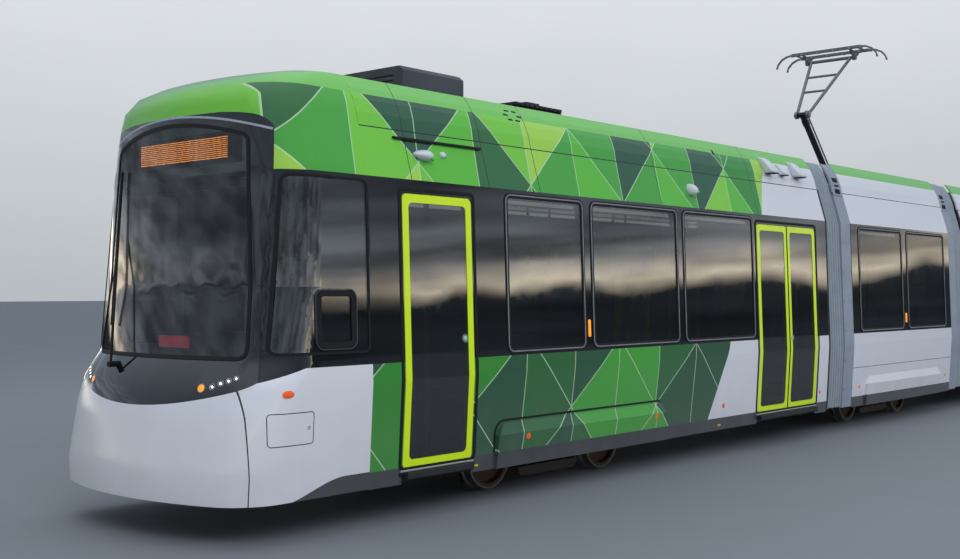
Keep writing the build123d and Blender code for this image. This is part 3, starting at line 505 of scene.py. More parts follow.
# Finishes: key, name, two colours, roughness between two limits, metal, grain per metre, bump, clear coat
PLAIN_FINISHES = (
    ("lamp_case", "gloss_black_lamp_case", "0D0E10", "15171A", (0.06, 0.12), 0.0, 40.0, 0.0, 0.6),
    ("skirt", "sheet_moulded_skirt", "3A3D42", "2E3136", (0.38, 0.60), 0.0, 5.0, 0.10),
    ("portal", "painted_portal_plate", "9AA3AE", "8B949F", (0.35, 0.50), 0.0, 4.0, 0.05),
    ("frame_dark", "painted_frame_dark", "2A2C2F", "1E2022", (0.45, 0.60), 0.0, 9.0, 0.1),
    ("floor", "ribbed_rubber_floor", "33363A", "3E4246", (0.55, 0.70), 0.0, 40.0, 0.2),
    ("sill", "anodised_sill_plate", "D2D1CA", "BDBBB2", (0.28, 0.42), 0.7, 60.0, 0.2),
    ("cab_plastic", "moulded_abs_desk", "26282B", "1D1F21", (0.45, 0.60), 0.0, 50.0, 0.15),
    ("rubber", "epdm_rubber_seal", "0C0C0D", "151516", (0.55, 0.75), 0.0, 50.0, 0.1),
    ("roof_gear", "aluminium_container_painted", "4A4F55", "3C4147", (0.40, 0.60), 0.0, 4.0, 0.08),
    ("bogie", "cast_frame_paint", "3A3632", "5C4B3C", (0.55, 0.80), 0.0, 14.0, 0.25),
    ("panto_black", "painted_tube_black", "0E0F10", "191A1C", (0.35, 0.50), 0.0, 30.0, 0.1),
    ("panto_grey", "galvanised_tube", "8E9194", "73777B", (0.38, 0.55), 0.7, 45.0, 0.1),
    ("carbon", "carbon_strip", "2A2A2B", "3D3C3A", (0.45, 0.65), 0.2, 90.0, 0.2),
    ("aluminium", "brushed_aluminium", "B4B8BC", "9BA0A5", (0.25, 0.40), 0.95, 80.0, 0.1),
    ("trim_grey", "satin_trim_strip", "B9C0C8", "A9B0B8", (0.22, 0.34), 0.3, 30.0, 0.04),
    ("white_case", "white_asa_housing", "DADDE0", "CDD0D4", (0.30, 0.42), 0.0, 25.0, 0.04),
    ("insulator", "silicone_insulator", "7A3B2E", "6A3328", (0.35, 0.45), 0.0, 20.0, 0.05),
    ("pole", "powder_coat_pole", "D8C21E", "CDB81A", (0.30, 0.40), 0.0, 25.0, 0.04),
    ("spring", "zinc_plated_steel", "8B8F92", "6F7376", (0.32, 0.50), 0.8, 60.0, 0.1),
    ("seat_shell", "moulded_seat_shell", "5C6268", "50565C", (0.40, 0.52), 0.0, 40.0, 0.06),
)
# Lit faces, and faces given a painted glow: key, name, two colours, strength, display dots per metre
LIT_FINISHES = (
    # The button's faint glow is painted light that makes the cap look pale
    ("button", "pale_button_cap", "9FC8A8", "8DB898", 0.12),
    ("amber", "amber_lamp_lens", "FF9A2A", "F08A1C", 0.9),
    # The reflex lens is no lamp: its glow is painted light, standing in for the light it throws back
    ("orange_marker", "orange_reflex_lens", "F0641E", "D9541A", 0.25),
    ("white_led", "white_led_lens", "FFF6E0", "F4F4F0", 2.5),
    ("red_display", "red_led_display", "FF2A4A", "180406", 9.0, 62.5),
    ("amber_display", "amber_led_display", "FF9A30", "120B04", 8.0, 62.5),
    ("ceiling_light", "led_ceiling_strip", "F4F6F2", "EDEFEA", 1.2),
)


def finishes(look):
    """Every finish by name; the look group holds the colours a user would change."""
    made = {
        "wall_paint": livery("coach_paint_walls", "wall", look),
        "roof_paint": livery("coach_paint_fairings", "roof", look),
        "cab_side_paint": livery("coach_paint_cab_sides", "cab_side", look),
        "cab_roof_paint": livery("coach_paint_cab_roof", "cab_roof", look),
        "nose_paint": livery("coach_paint_nose", "nose", look),
        "skirt_paint": livery("coach_paint_skirts", "skirt", look),
        "mask": mask_finish("gloss_acrylic_mask"),
        "window_glass": tinted_glass("tinted_side_glass", "14181B", 0.72),
        "screen_glass": tinted_glass("laminated_screen_glass", "171C20", 0.50),
        # Powder-coated door frames, bright so that they stand out
        "door_frame": plain_finish(
            "powder_coat_lime", shown(look.door), "DAF60E", (0.28, 0.36), 0.0, 12.0, 0.05, 0.2
        ),
        "seat": woven("moquette_seat_cloth", "24506B", "1A3C55", 0.022),
        "bellows": folded_cloth("coated_bellows_cloth"),
    }
    for key, *row in PLAIN_FINISHES:
        made[key] = plain_finish(*row)
    for key, *row in LIT_FINISHES:
        made[key] = lit(*row)
    return made


# Finish of each CAD node, by the end of its name
NODE_FINISH = {
    "side_walls": "wall_paint",
    "roof": "roof_paint",
    "underframe": "floor",
    "skirts": "skirt_paint",
    "door_sills": "frame_dark",
    "nose": "nose_paint",
    "cab_mask": "mask",
    "cab_sides": "cab_side_paint",
    "windscreen": "screen_glass",
    "cab_roof": "cab_roof_paint",
    "side_glass": "window_glass",
    "doors": "door_frame",
    "cab_interior": "cab_plastic",
    "seats": "seat_shell",
    "roof_gear": "roof_gear",
    "headlamps": "lamp_case",
    "gangway_frame": "frame_dark",
    "wiper": "rubber",
    "bellows": "bellows",
    "portals": "portal",
    "bogie_frame": "bogie",
    "panto_base": "panto_black",
    "panto_lower_arm": "panto_black",
    "panto_upper_arm": "panto_grey",
    "panto_head": "panto_grey",
    "panto_guide_rod": "panto_grey",
}
FINISH = {}


def node_finish(node):
    """The finish of one CAD node."""
    for ending in sorted(NODE_FINISH, key=len, reverse=True):
        if node.endswith(ending):
            return FINISH[NODE_FINISH[ending]]
    return FINISH["frame_dark"]


def deselect():
    """Nothing selected, no active object."""
    for item in bpy.context.view_layer.objects:
        item.select_set(False)
    bpy.context.view_layer.objects.active = None


def only(piece):
    """Selects one piece alone and makes it active."""
    deselect()
    piece.select_set(True)
    bpy.context.view_layer.objects.active = piece
    return piece


def added(name, primitive, **settings):
    """A new primitive, alone in the selection."""
    deselect()
    primitive(**settings)
    piece = bpy.context.object
    piece.name = name
    return piece


def settle(piece):
    """Moves a piece's place, turn and size into its mesh."""
    only(piece)
    bpy.ops.object.transform_apply(location=True, rotation=True, scale=True)
    return piece


def apply_all(piece):
    """Applies every modifier of a piece."""
    only(piece)
    for modifier in list(piece.modifiers):
        bpy.ops.object.modifier_apply(modifier=modifier.name)
    return piece


def rounded(piece, width, segments=2, limit=40.0):
    """Rounds a piece's sharp edges."""
    bevel = piece.modifiers.new("edges", "BEVEL")
    bevel.width = width
    bevel.segments = segments
    bevel.limit_method = "ANGLE"
    bevel.angle_limit = radians(limit)
    bevel.harden_normals = False
    return apply_all(piece)


def block(name, low, high, edge=0.003, segments=2):
    """A box between two corners with rounded edges; heights are above the rail."""
    middle = [(a + b) / 2 for a, b in zip(low, high)]
    middle[2] += RAIL
    piece = added(name, bpy.ops.mesh.primitive_cube_add, size=1, location=middle)
    piece.scale = [abs(b - a) for a, b in zip(low, high)]
    settle(piece)
    if edge:
        rounded(piece, edge, segments)
    return piece


def slab(name, x0, x1, half, low, high, edge=0.003, segments=2, y=0.0):
    """A box as wide to the left of a line along the tram as to its right."""
    return block(name, (x0, y - half, low), (x1, y + half, high), edge, segments)


def stud(name, x, y, long, wide, low, high, edge=0.003):
    """A box about a point in plan: half its length and half its width."""
    return block(name, (x - long, y - wide, low), (x + long, y + wide, high), edge)


def bar(name, start, end, radius, sides=16, edge=0.0, radius_end=None):
    """A round bar or cone between two points; heights are above the rail."""
    first = Vector(start) + Vector((0, 0, RAIL))
    second = Vector(end) + Vector((0, 0, RAIL))
    along = second - first
    piece = added(
        name, bpy.ops.mesh.primitive_cone_add, vertices=sides,
        radius1=radius, radius2=radius if radius_end is None else radius_end, depth=along.length,
        location=(first + second) / 2, rotation=along.to_track_quat("Z", "Y").to_euler(),
    )
    settle(piece)
    if edge:
        rounded(piece, edge, 2, 50.0)
    return piece


def pin(name, x, height, y0, y1, radius, sides=16, edge=0.0):
    """A round bar across the tram."""
    return bar(name, (x, y0, height), (x, y1, height), radius, sides, edge)


def post(name, x, y, low, high, radius, sides=16, edge=0.0, radius_end=None):
    """An upright round bar or cone."""
    return bar(name, (x, y, low), (x, y, high), radius, sides, edge, radius_end)


def joined(name, pieces):
    """Several pieces as one mesh."""
    deselect()
    for piece in pieces:
        piece.select_set(True)
    bpy.context.view_layer.objects.active = pieces[0]
    if len(pieces) > 1:
        bpy.ops.object.join()
    piece = bpy.context.object
    piece.name = name
    return piece


def repeated(piece, count, step):
    """Several copies of a piece in a row, as one mesh."""
    row = piece.modifiers.new("row", "ARRAY")
    row.use_relative_offset = False
    row.use_constant_offset = True
    row.constant_offset_displace = step
    row.count = count
    return apply_all(piece)


def both_hands(piece):
    """Adds the mirror image of a piece on the tram's other side."""
    mirror = piece.modifiers.new("other_side", "MIRROR")
    mirror.use_axis = (False, True, False)
    mirror.use_clip = False
    mirror.use_mirror_merge = False
    return apply_all(piece)


def smooth(piece, angle=35.0):
    """Smooth shading up to an angle."""
    only(piece)
    bpy.ops.object.shade_smooth_by_angle(angle=radians(angle))
    return piece


def dress(piece, finish, body=None, angle=35.0):
    """Gives a finished piece its material and smooth shading, and its body when one is named."""
    piece.data.materials.clear()
    piece.data.materials.append(FINISH[finish])
    smooth(piece, angle)
    if body:
        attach(piece, body)
    return piece


def turned_copy(piece, name):
    """A copy of a piece for the tram's other end, half a turn about the vertical."""
    copy = piece.copy()
    copy.data = piece.data.copy()
    bpy.context.collection.objects.link(copy)
    copy.name = name
    copy.data.transform(Matrix.Rotation(pi, 4, "Z"))
    return copy


def at_both_ends(piece, finish):
    """Dresses a piece of the front end and its copy at the rear end."""
    name = piece.name
    rear = turned_copy(piece, f"rear_{name}")
    piece.name = f"front_{name}"
    for made, end in ((piece, "front"), (rear, "rear")):
        dress(made, finish, f"{end}_module")
    return piece, rear


def at_four_places(name, pieces, finish):
    """Dresses some pieces as one, on both sides of both ends."""
    return at_both_ends(both_hands(joined(name, pieces)), finish)


CAMERA_PLACE = (-17.70, -8.305, 1.915)
CAMERA_TURN = (radians(90.55), 0.0, radians(-48.9))
LIGHT_TARGET = (-3.0, 0.0, 1.5)
# Soft boxes: name, place, size, power
LIGHTS = (
    ("key_softbox", (-20.0, -16.0, 14.0), (14.0, 8.0), 1680.0),
    ("side_softbox", (4.0, -22.0, 12.0), (22.0, 6.0), 1320.0),
    ("top_softbox", (0.0, 4.0, 16.0), (26.0, 8.0), 820.0),
)
BOGIES = (("front", -8.040), ("centre", 0.0), ("rear", 8.040))
WHEELSETS = ((1, -0.925), (2, 0.925))
# Curved nodes that get smooth merged copies, with their slots
SHELLS = (
    ("nose", "nose_paint"),
    ("cab_mask", "mask_black"),
    ("cab_sides", "side_paint"),
    ("windscreen", "screen_glass"),
    ("cab_roof", "nose_paint"),
)


class TramLook(bpy.types.PropertyGroup):
    """Colours that a user would change"""

    white: bpy.props.FloatVectorProperty(
        name="White", description="Paint between the green areas", subtype="COLOR", size=3,
        default=linear(WHITE)[:3], min=0.0, max=1.0,
    )
    door: bpy.props.FloatVectorProperty(
        name="Doors", description="Powder coat of the door frames", subtype="COLOR", size=3,
        default=linear("E2FF12")[:3], min=0.0, max=1.0,
    )
    skirt: bpy.props.FloatVectorProperty(
        name="Skirts", description="Sheet moulding below the floor line", subtype="COLOR", size=3,
        default=linear(SKIRT)[:3], min=0.0, max=1.0,
    )


class TramFittings(bpy.types.PropertyGroup):
    """Sizes that a user would change"""

    seal_width: bpy.props.FloatProperty(
        name="Seal width", description="Seen width of the rubber round a window", unit="LENGTH",
        default=0.016, min=0.004, max=0.04,
    )
    fold_depth: bpy.props.FloatProperty(
        name="Fold depth", description="Depth of one fold of the bellows", unit="LENGTH",
        default=0.055, min=0.02, max=0.08,
    )


def merged(node, name):
    """A copy of a node with its loose triangles joined and smooth shading."""
    copy = NODES[node].copy()
    copy.data = NODES[node].data.copy()
    copy.parent = None
    for key in list(copy.keys()):
        del copy[key]
    bpy.context.scene.collection.objects.link(copy)
    copy.name = name
    copy.data.materials.clear()
    only(copy)
    bpy.ops.object.mode_set(mode="EDIT")
    bpy.ops.mesh.select_all(action="SELECT")
    bpy.ops.mesh.remove_doubles(threshold=0.00002)
    bpy.ops.object.mode_set(mode="OBJECT")
    smooth(copy, 32.0)
    return soft_normals(copy, 0.07)


def soft_normals(piece, reach):
    """Gives each face corner the mean normal of the faces near it: thin triangles then bend no reflection."""
    mesh = piece.data
    bm = bmesh.new()
    bm.from_mesh(mesh)
    tree = BVHTree.FromBMesh(bm)
    bm.free()
    areas = [min(face.area, reach * reach) for face in mesh.polygons]
    near = {}
    normals = [None] * len(mesh.loops)
    for face in mesh.polygons:
        for index in face.loop_indices:
            number = mesh.loops[index].vertex_index
            if number not in near:
                near[number] = tree.find_nearest_range(mesh.vertices[number].co, reach)
            mean = face.normal * 1e-6
            for _, normal, other, distance in near[number]:
                if normal.dot(face.normal) > 0.80:
                    mean += normal * areas[other] * (1.0 - distance / reach)
            normals[index] = mean.normalized()
    mesh.normals_split_custom_set(normals)
    return piece


def stage_material(name, colour, second):
    """Plain floor paint."""
    made, tree = new_material(name)
    tone = mix(tree, grain(tree, 0.4), colour, second)
    return close_material(made, Base_Color=tone, Roughness=0.75, IOR=1.45)


def edit(piece):
    """Opens a piece for editing with all of its faces selected."""
    only(piece)
    bpy.ops.object.mode_set(mode="EDIT")
    bpy.ops.mesh.select_mode(type="FACE")
    bpy.ops.mesh.select_all(action="SELECT")
    return bmesh.from_edit_mesh(piece.data)


def done(piece):
    """Leaves edit mode."""
    bmesh.update_edit_mesh(piece.data)
    bpy.ops.object.mode_set(mode="OBJECT")
    return piece


def rounded_plate(name, x0, x1, z0, z1, corner):
    """A flat plate with rounded corners in side view, facing out of the near side."""
    middle = ((x0 + x1) / 2, 0, (z0 + z1) / 2 + RAIL)
    piece = added(name, bpy.ops.mesh.primitive_plane_add, size=1, location=middle, rotation=(pi / 2, 0, 0))
    piece.scale = (x1 - x0, z1 - z0, 1)
    settle(piece)
    edit(piece)
    bpy.ops.mesh.bevel(offset=corner, segments=6, affect="VERTICES")
    return done(piece)


def hollowed(piece, width):
    """Opens a flat plate for editing and leaves only a border of it."""
    edit(piece)
    bpy.ops.mesh.inset(thickness=width, use_boundary=True)
    bpy.ops.mesh.delete(type="FACE")
    return piece


def recalculated(piece):
    """Turns every face of a closed piece outwards."""
    edit(piece)
    bpy.ops.mesh.normals_make_consistent(inside=False)
    return done(piece)


def thick(piece, out, sink=0.0, edge=0.0):
    """Gives a plate its thickness: out from the wall and sunk into it."""
    solid = piece.modifiers.new("thickness", "SOLIDIFY")
    solid.thickness = out + sink
    solid.offset = (out - sink) / (out + sink)
    apply_all(piece)
    if edge:
        rounded(piece, edge, 2, 50.0)
    return piece


def wrapped(piece):
    """Lays a piece modelled about Y = 0 on the near side wall."""
    for vertex in piece.data.vertices:
        vertex.co.y -= half_width(vertex.co.z - RAIL)
    piece.data.update()
    return piece


def finer(piece, height):
    """Cuts a piece into level strips so that it can follow the wall."""
    bm = edit(piece)
    low = min(vertex.co.z for vertex in bm.verts)
    high = max(vertex.co.z for vertex in bm.verts)
    level = low + height
    while level < high - 0.01:
        cut((0, 0, level), (0, 0, 1))
        level += height
    for crease, _ in SECTION[2:5]:
        cut((0, 0, crease + RAIL), (0, 0, 1))
    return done(piece)


def ring_frame(name, x0, x1, z0, z1, corner, width, out, sink, edge=0.002):
    """A rounded frame round an opening of the near side wall."""
    piece = rounded_plate(name, x0, x1, z0, z1, corner)
    done(hollowed(piece, width))
    thick(piece, out, sink, edge)
    return wrapped(finer(piece, 0.35))


def pad(name, x0, x1, z0, z1, corner, out, sink=0.004, edge=0.003):
    """A rounded plate lying on the near side wall."""
    piece = rounded_plate(name, x0, x1, z0, z1, corner)
    thick(piece, out, sink, edge)
    return wrapped(piece)


class TRAM_OT_glazing(bpy.types.Operator):
    """Set rubber seals and metal beads round every window"""

    bl_idname = "tram.glazing"
    bl_label = "Window seals"

    def execute(self, context):
        width = context.scene.tram_fittings.seal_width
        seals, beads = self.window_rings(WINDOWS, width)
        at_four_places("window_seals", seals, "rubber")
        at_four_places("window_beads", beads, "aluminium")
        seals, beads = self.window_rings(CENTRE_WINDOWS, width)
        dress(both_hands(joined("centre_window_seals", seals)), "rubber", "centre_module")
        dress(both_hands(joined("centre_window_beads", beads)), "aluminium", "centre_module")
        # Rubber in the gap round each doorway, and between the two leaves
        low, high = DOOR_LOW - 0.02, DOOR_HIGH + 0.055
        rings = [
            ring_frame("gap", x0 - 0.045, x1 + 0.045, low, high, 0.06, 0.034, 0.004, 0.004)
            for x0, x1 in (SINGLE_DOOR, DOUBLE_DOOR)
        ]
        middle = sum(DOUBLE_DOOR) / 2
        low, high = (middle - 0.012, -0.004, DOOR_LOW + 0.02), (middle + 0.012, 0.010, DOOR_HIGH - 0.02)
        rings.append(wrapped(finer(block("meeting", low, high, 0.003), 0.3)))
        at_four_places("doorway_seals", rings, "rubber")
        return {"FINISHED"}

    def window_rings(self, windows, width):
        """A rubber seal and a metal bead for each window."""
        rings = []
        low, high = WINDOW_LOW, WINDOW_HIGH
        for name, apart, corner, seen, *rest in (
            ("seal", 0.030, 0.085, 0.034 + width, 0.006, 0.004),
            ("bead", 0.016, 0.075, 0.013, 0.0085, -0.005, 0.001),
        ):
            rings.append([
                ring_frame(name, x0 - apart, x1 + apart, low - apart, high + apart, corner, seen, *rest)
                for x0, x1 in windows
            ])
        return rings


# Outline of the bellows in cross-section, near half: half width, height
FOLD_LINE = (
    (0.00, 3.230), (0.55, 3.230), (0.785, 3.230), (0.825, 3.262), (0.840, 3.420), (0.850, 3.600),
    (0.885, 3.648), (0.925, 3.640), (0.978, 3.573), (1.036, 3.469), (1.078, 3.358), (1.105, 3.240),
    (1.150, 3.080), (1.230, 2.780), (1.300, 1.150), (1.265, 0.480), (1.245, 0.315),
)
STEPS_PER_FOLD = 8


def bellows_piece(name, low, high, depth):
    """A folded sleeve, open below, between two X positions."""
    rows = len(FOLD_LINE) * 2 - 2
    columns = FOLDS * STEPS_PER_FOLD
    piece = added(name, bpy.ops.mesh.primitive_grid_add, x_subdivisions=columns, y_subdivisions=rows, size=2)
    outline = [(-y, z) for y, z in reversed(FOLD_LINE)] + list(FOLD_LINE[1:])
    for vertex in piece.data.vertices:
        column = round((vertex.co.x + 1) / 2 * columns)
        row = round((vertex.co.y + 1) / 2 * rows)
        y, z = outline[row]
        share = column / columns
        wave = 0.5 - 0.5 * cos(2 * pi * FOLDS * share)
        # Round outer folds, tight inner ones
        inset = depth * (wave**0.7)
        y -= inset * (1 if y > 0 else -1) * (0.0 if abs(y) < 0.6 else 1.0)
        if z > 2.9:
            z -= inset * min(1.0, (z - 2.9) / 0.3)
        vertex.co = (low + (high - low) * share, y, z + RAIL)
    piece.data.update()
    return piece


class TRAM_OT_bellows(bpy.types.Operator):
    """Model the folded cloth between the modules"""

    bl_idname = "tram.bellows"
    bl_label = "Bellows"

    def execute(self, context):
        depth = context.scene.tram_fittings.fold_depth
        for end, sign in ENDS:
            low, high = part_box(f"{end}_bellows")
            piece = bellows_piece(f"{end}_bellows_cloth", low.x, high.x, depth)
            solid = piece.modifiers.new("cloth", "SOLIDIFY")
            solid.thickness = 0.004
            solid.offset = 0.0
            apply_all(piece)
            dress(piece, "bellows", angle=60.0)
            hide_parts(f"{end}_bellows")
            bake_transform(piece)
        return {"FINISHED"}


TREES = {}


def surface(nodes, origin, direction):
    """Nearest point and normal of some CAD nodes along a ray; the height is above the rail."""
    start = Vector(origin) + Vector((0, 0, RAIL))
    best = None
    for node in nodes:
        if node not in TREES:
            bm = bmesh.new()
            bm.from_mesh(NODES[node].data)
            TREES[node] = BVHTree.FromBMesh(bm)
            bm.free()
        place, normal, _, reach = TREES[node].ray_cast(start, Vector(direction))
        if place is not None and (best is None or reach < best[2]):
            best = (place, normal, reach)
    if best is None:
        raise RuntimeError(f"nothing under the ray from {origin}")
    return best[:2]


def from_side(nodes, x, height):
    """Nearest point of some CAD nodes seen from the near side."""
    return surface(nodes, (x, -2.0, height), (0, 1, 0))


def spot_at(x, y, height, normal=(0, 0, 1)):
    """A point above the rail and the way it faces, like those that surface finds."""
    return Vector((x, y, height + RAIL)), Vector(normal)


def placed(piece, spot):
    """Moves a piece from the origin to a surface point, its top turned along the normal."""
    place, normal = spot
    piece.location = place
    piece.rotation_euler = normal.to_track_quat("Z", "Y").to_euler()
    return settle(piece)


def cut(level, way, **sides):
    """Cuts the faces open for editing with a plane through a point, away from or along one axis."""
    bpy.ops.mesh.select_all(action="SELECT")
    bpy.ops.mesh.bisect(plane_co=level, plane_no=way, **sides)


def lens(name, spot, radius, out):
    """A round domed lens standing out of a surface point."""
    piece = added(name, bpy.ops.mesh.primitive_uv_sphere_add, segments=24, ring_count=12, radius=radius)
    piece.scale = (1, 1, out / radius)
    settle(piece)
    edit(piece)
    cut((0, 0, -0.15 * out), (0, 0, 1), use_fill=True, clear_inner=True)
    done(piece)
    return placed(piece, spot)


def collar(name, spot, radius, thickness, sides=28):
    """A round bezel lying on a surface point."""
    piece = added(
        name, bpy.ops.mesh.primitive_torus_add,
        major_radius=radius, minor_radius=thickness, major_segments=sides, minor_segments=8,
    )
    edit(piece)
    cut((0, 0, -0.5 * thickness), (0, 0, 1), use_fill=True, clear_inner=True)
    done(piece)
    return placed(piece, spot)


def laid(piece, nodes, direction, lift):
    """Moves every vertex of a flat piece along a ray onto some CAD nodes."""
    way = Vector(direction)
    for vertex in piece.data.vertices:
        start = vertex.co - way * 3.0 - Vector((0, 0, RAIL))
        place, _ = surface(nodes, start, direction)
        vertex.co = place - way * lift
    piece.data.update()
    if sum(face.normal.dot(way) for face in piece.data.polygons) > 0:
        piece.data.flip_normals()
    return piece


def strip(name, points, width):
    """A closed flat band along points (y, height) in front view."""
    count = len(points)
    piece = added(name, bpy.ops.mesh.primitive_grid_add, x_subdivisions=count, y_subdivisions=1, size=2)
    for vertex in piece.data.vertices:
        column = round((vertex.co.x + 1) / 2 * count)
        y, height = points[column % count]
        before = points[(column - 1) % count]
        after = points[(column + 1) % count]
        along = Vector((after[0] - before[0], after[1] - before[1])).normalized()
        out = vertex.co.y * width / 2
        vertex.co = (-11.0, y + along.y * out, height - along.x * out + RAIL)
    edit(piece)
    bpy.ops.mesh.remove_doubles(threshold=0.0001)
    return done(piece)


def bend(before, corner, after, steps=6):
    """Points of a rounded corner."""
    points = []
    for step in range(steps + 1):
        share = step / steps
        first, middle, last = (1 - share) ** 2, 2 * share * (1 - share), share**2
        points.append(tuple(first * a + middle * b + last * c for a, b, c in zip(before, corner, after)))
    return points


def between(first, last, steps):
    """Points that divide a straight line into steps, without its ends."""
    return [tuple(a + (b - a) * step / steps for a, b in zip(first, last)) for step in range(1, steps)]


def outline_ring(name, low, high, corner, width):
    """A flat rounded ring in side view, divided to follow a curve."""
    piece = rounded_plate(name, low[0], high[0], low[1], high[1], corner)
    hollowed(piece, width)
    for step in range(1, 24):
        at = low[0] + (high[0] - low[0]) * step / 24
        cut((at, 0, 0), (1, 0, 0))
    done(piece)
    for vertex in piece.data.vertices:
        vertex.co.y = 0.0
    piece.data.update()
    return piece


# Lamps in the mask, as in the part's source: half spacing, height, radius
LAMPS = (
    (0.750, 1.152, 0.034),
    (0.845, 1.165, 0.024),
    (0.905, 1.190, 0.024),
    (0.960, 1.210, 0.024),
    (1.010, 1.230, 0.022),
)


class TRAM_OT_front_lamps(bpy.types.Operator):
    """Fit lenses and bezels in the lamp row of the mask"""

    bl_idname = "tram.front_lamps"
    bl_label = "Front lamps"

    def execute(self, context):
        white = []
        amber = []
        bezels = []
        nodes = ("front_headlamps", "front_cab_mask")
        for side in SIDES:
            for count, (y, height, radius) in enumerate(LAMPS):
                spot = surface(nodes, (-14.0, side * y, height), (1, 0, 0))
                made = lens("lens", spot, radius * (0.86 if count == 0 else 0.42), 0.006)
                (amber if count == 0 else white).append(made)
                bezels.append(collar("bezel", spot, radius * 0.96, 0.004))
        at_both_ends(joined("lamp_lenses", white), "white_led")
        at_both_ends(joined("indicator_lenses", amber), "amber")
        at_both_ends(joined("lamp_bezels", bezels), "aluminium")
        return {"FINISHED"}


# The bright arc over the windscreen: height at the middle, drop at its ends, half width
ARC_HEIGHT = 3.285
ARC_DROP = 0.150
ARC_HALF = 1.060
# The side repeater: x, height, and how much longer than high it is
REPEATER = (-11.86, 1.11)
REPEATER_OVAL = 1.8
# Side edge of the windscreen: half width and height of its ends
SCREEN_FOOT, SCREEN_TOP = (0.998, 1.467), (0.8845, 3.028)
# Arc of the windscreen's top edge: height of its centre, radius
SCREEN_ARC = (0.177, 3.043)


class TRAM_OT_front_trims(bpy.types.Operator):
    """Lay the bright arc over the windscreen, the screen seal, the hatch and the side repeater"""

    bl_idname = "tram.front_trims"
    bl_label = "Front trims"

    def execute(self, context):
        arc = added(
            "bright_arc", bpy.ops.mesh.primitive_grid_add, x_subdivisions=72, y_subdivisions=1, size=2
        )
        shell = ("front_cab_mask", "front_cab_sides", "front_cab_roof")
        for vertex in arc.data.vertices:
            y = vertex.co.x * ARC_HALF
            height = ARC_HEIGHT - ARC_DROP * (y / ARC_HALF) ** 2 + vertex.co.y * 0.009
            place, _ = surface(shell, (-13.5, y, height), (1, 0, 0))
            vertex.co = place - Vector((0.001, 0, 0))
        thick(arc, 0.006)
        recalculated(arc)
        at_both_ends(arc, "trim_grey")
        # Hatch and repeater on the white panel beside the cab
        hatch = outline_ring("hatch_joint", (-12.03, 0.72), (-11.61, 0.97), 0.03, 0.006)
        laid(hatch, ("front_cab_sides",), (0, 1, 0), 0.0005)
        thick(hatch, 0.001)
        recalculated(hatch)
        at_both_ends(both_hands(hatch), "rubber")
        x, height = REPEATER
        lamp = lens("side_repeater", from_side(("front_cab_sides",), x, height), 0.030, 0.014)
        for vertex in lamp.data.vertices:
            vertex.co.x = x + (vertex.co.x - x) * REPEATER_OVAL
        at_both_ends(both_hands(lamp), "orange_marker")
        lock = from_side(("front_cab_sides",), -11.66, 0.845)
        at_both_ends(both_hands(collar("hatch_lock", lock, 0.012, 0.003)), "aluminium")
        # Frame of the drop window in the cab's side glass
        glass = ("front_side_glass", "front_cab_sides", "front_cab_mask", "front_windscreen")
        frames = []
        for low, high, corner, width, out in (
            ((-11.590, 1.440), (-11.180, 1.895), 0.070, 0.050, 0.010),
            ((-11.945, 1.395), (-11.020, 2.790), 0.060, 0.022, 0.004),
        ):
            ring = outline_ring("frame", low, high, corner, width)
            for vertex in ring.data.vertices:
                # The big pane's front edge leans back with the mask
                if low[0] < -11.9 and vertex.co.x < -11.5:
                    vertex.co.x += (vertex.co.z - RAIL - 1.395) * 0.095
            laid(ring, glass, (0, 1, 0), 0.001)
            frames.append(thick(ring, out))
        at_both_ends(both_hands(recalculated(joined("cab_window_frames", frames))), "rubber")
        ring = outline_ring("cab_window_bead", (-11.600, 1.430), (-11.170, 1.905), 0.078, 0.007)
        laid(ring, glass, (0, 1, 0), 0.001)
        at_both_ends(both_hands(recalculated(thick(ring, 0.012))), "roof_gear")
        self.screen_seal()
        return {"FINISHED"}

    def screen_seal(self):
        """Black seal over the joint between windscreen and mask."""
        right = bend((0.908, 1.370), (1.005, 1.370), SCREEN_FOOT)
        right += between(SCREEN_FOOT, SCREEN_TOP, 19)
        right += bend(SCREEN_TOP, (0.880, 3.090), (0.821, 3.108))
        left = [(-y, height) for y, height in reversed(right)]
        centre, radius = SCREEN_ARC
        top = [(y, centre + sqrt(radius**2 - y**2)) for y, _ in between((0.821, 0), (-0.821, 0), 20)]
        foot = between((-0.908, 1.370), (0.908, 1.370), 20)
        seal = strip("screen_seal", right + top + left + foot, 0.030)
        laid(seal, ("front_cab_mask", "front_windscreen"), (1, 0, 0), 0.001)
        at_both_ends(recalculated(thick(seal, 0.004)), "rubber")


# Round markers: distance from the middle, height, radius, how far the lens stands out
MARKERS = (
    (9.02, 0.546, 0.030, 0.0012),
    (6.85, 0.556, 0.030, 0.0012),
    (5.37, 0.558, 0.024, 0.010),
    (2.86, 0.560, 0.018, 0.010),
)
CENTRE_MARKERS = ((-1.62, 0.552, 0.024), (1.62, 0.552, 0.024))
SCOOPS = ((-3.96, 1.0), (-3.60, 0.72), (-3.19, 1.0))
VENT_X, VENT_Z = -8.90, 3.555
VENT_SLOTS = ((-0.055, 0.045), (0.055, 0.045), (-0.10, 0.0), (0.10, 0.0), (-0.055, -0.045), (0.055, -0.045))
# Camera housings: x, height, half length, half height, depth
CAMERAS = (
    (-10.31, 3.045, 0.115, 0.062, 0.085),
    (-10.05, 3.070, 0.035, 0.030, 0.030),
    (-5.97, 3.025, 0.070, 0.070, 0.100),
)
SCOOP_FOOT = 3.365


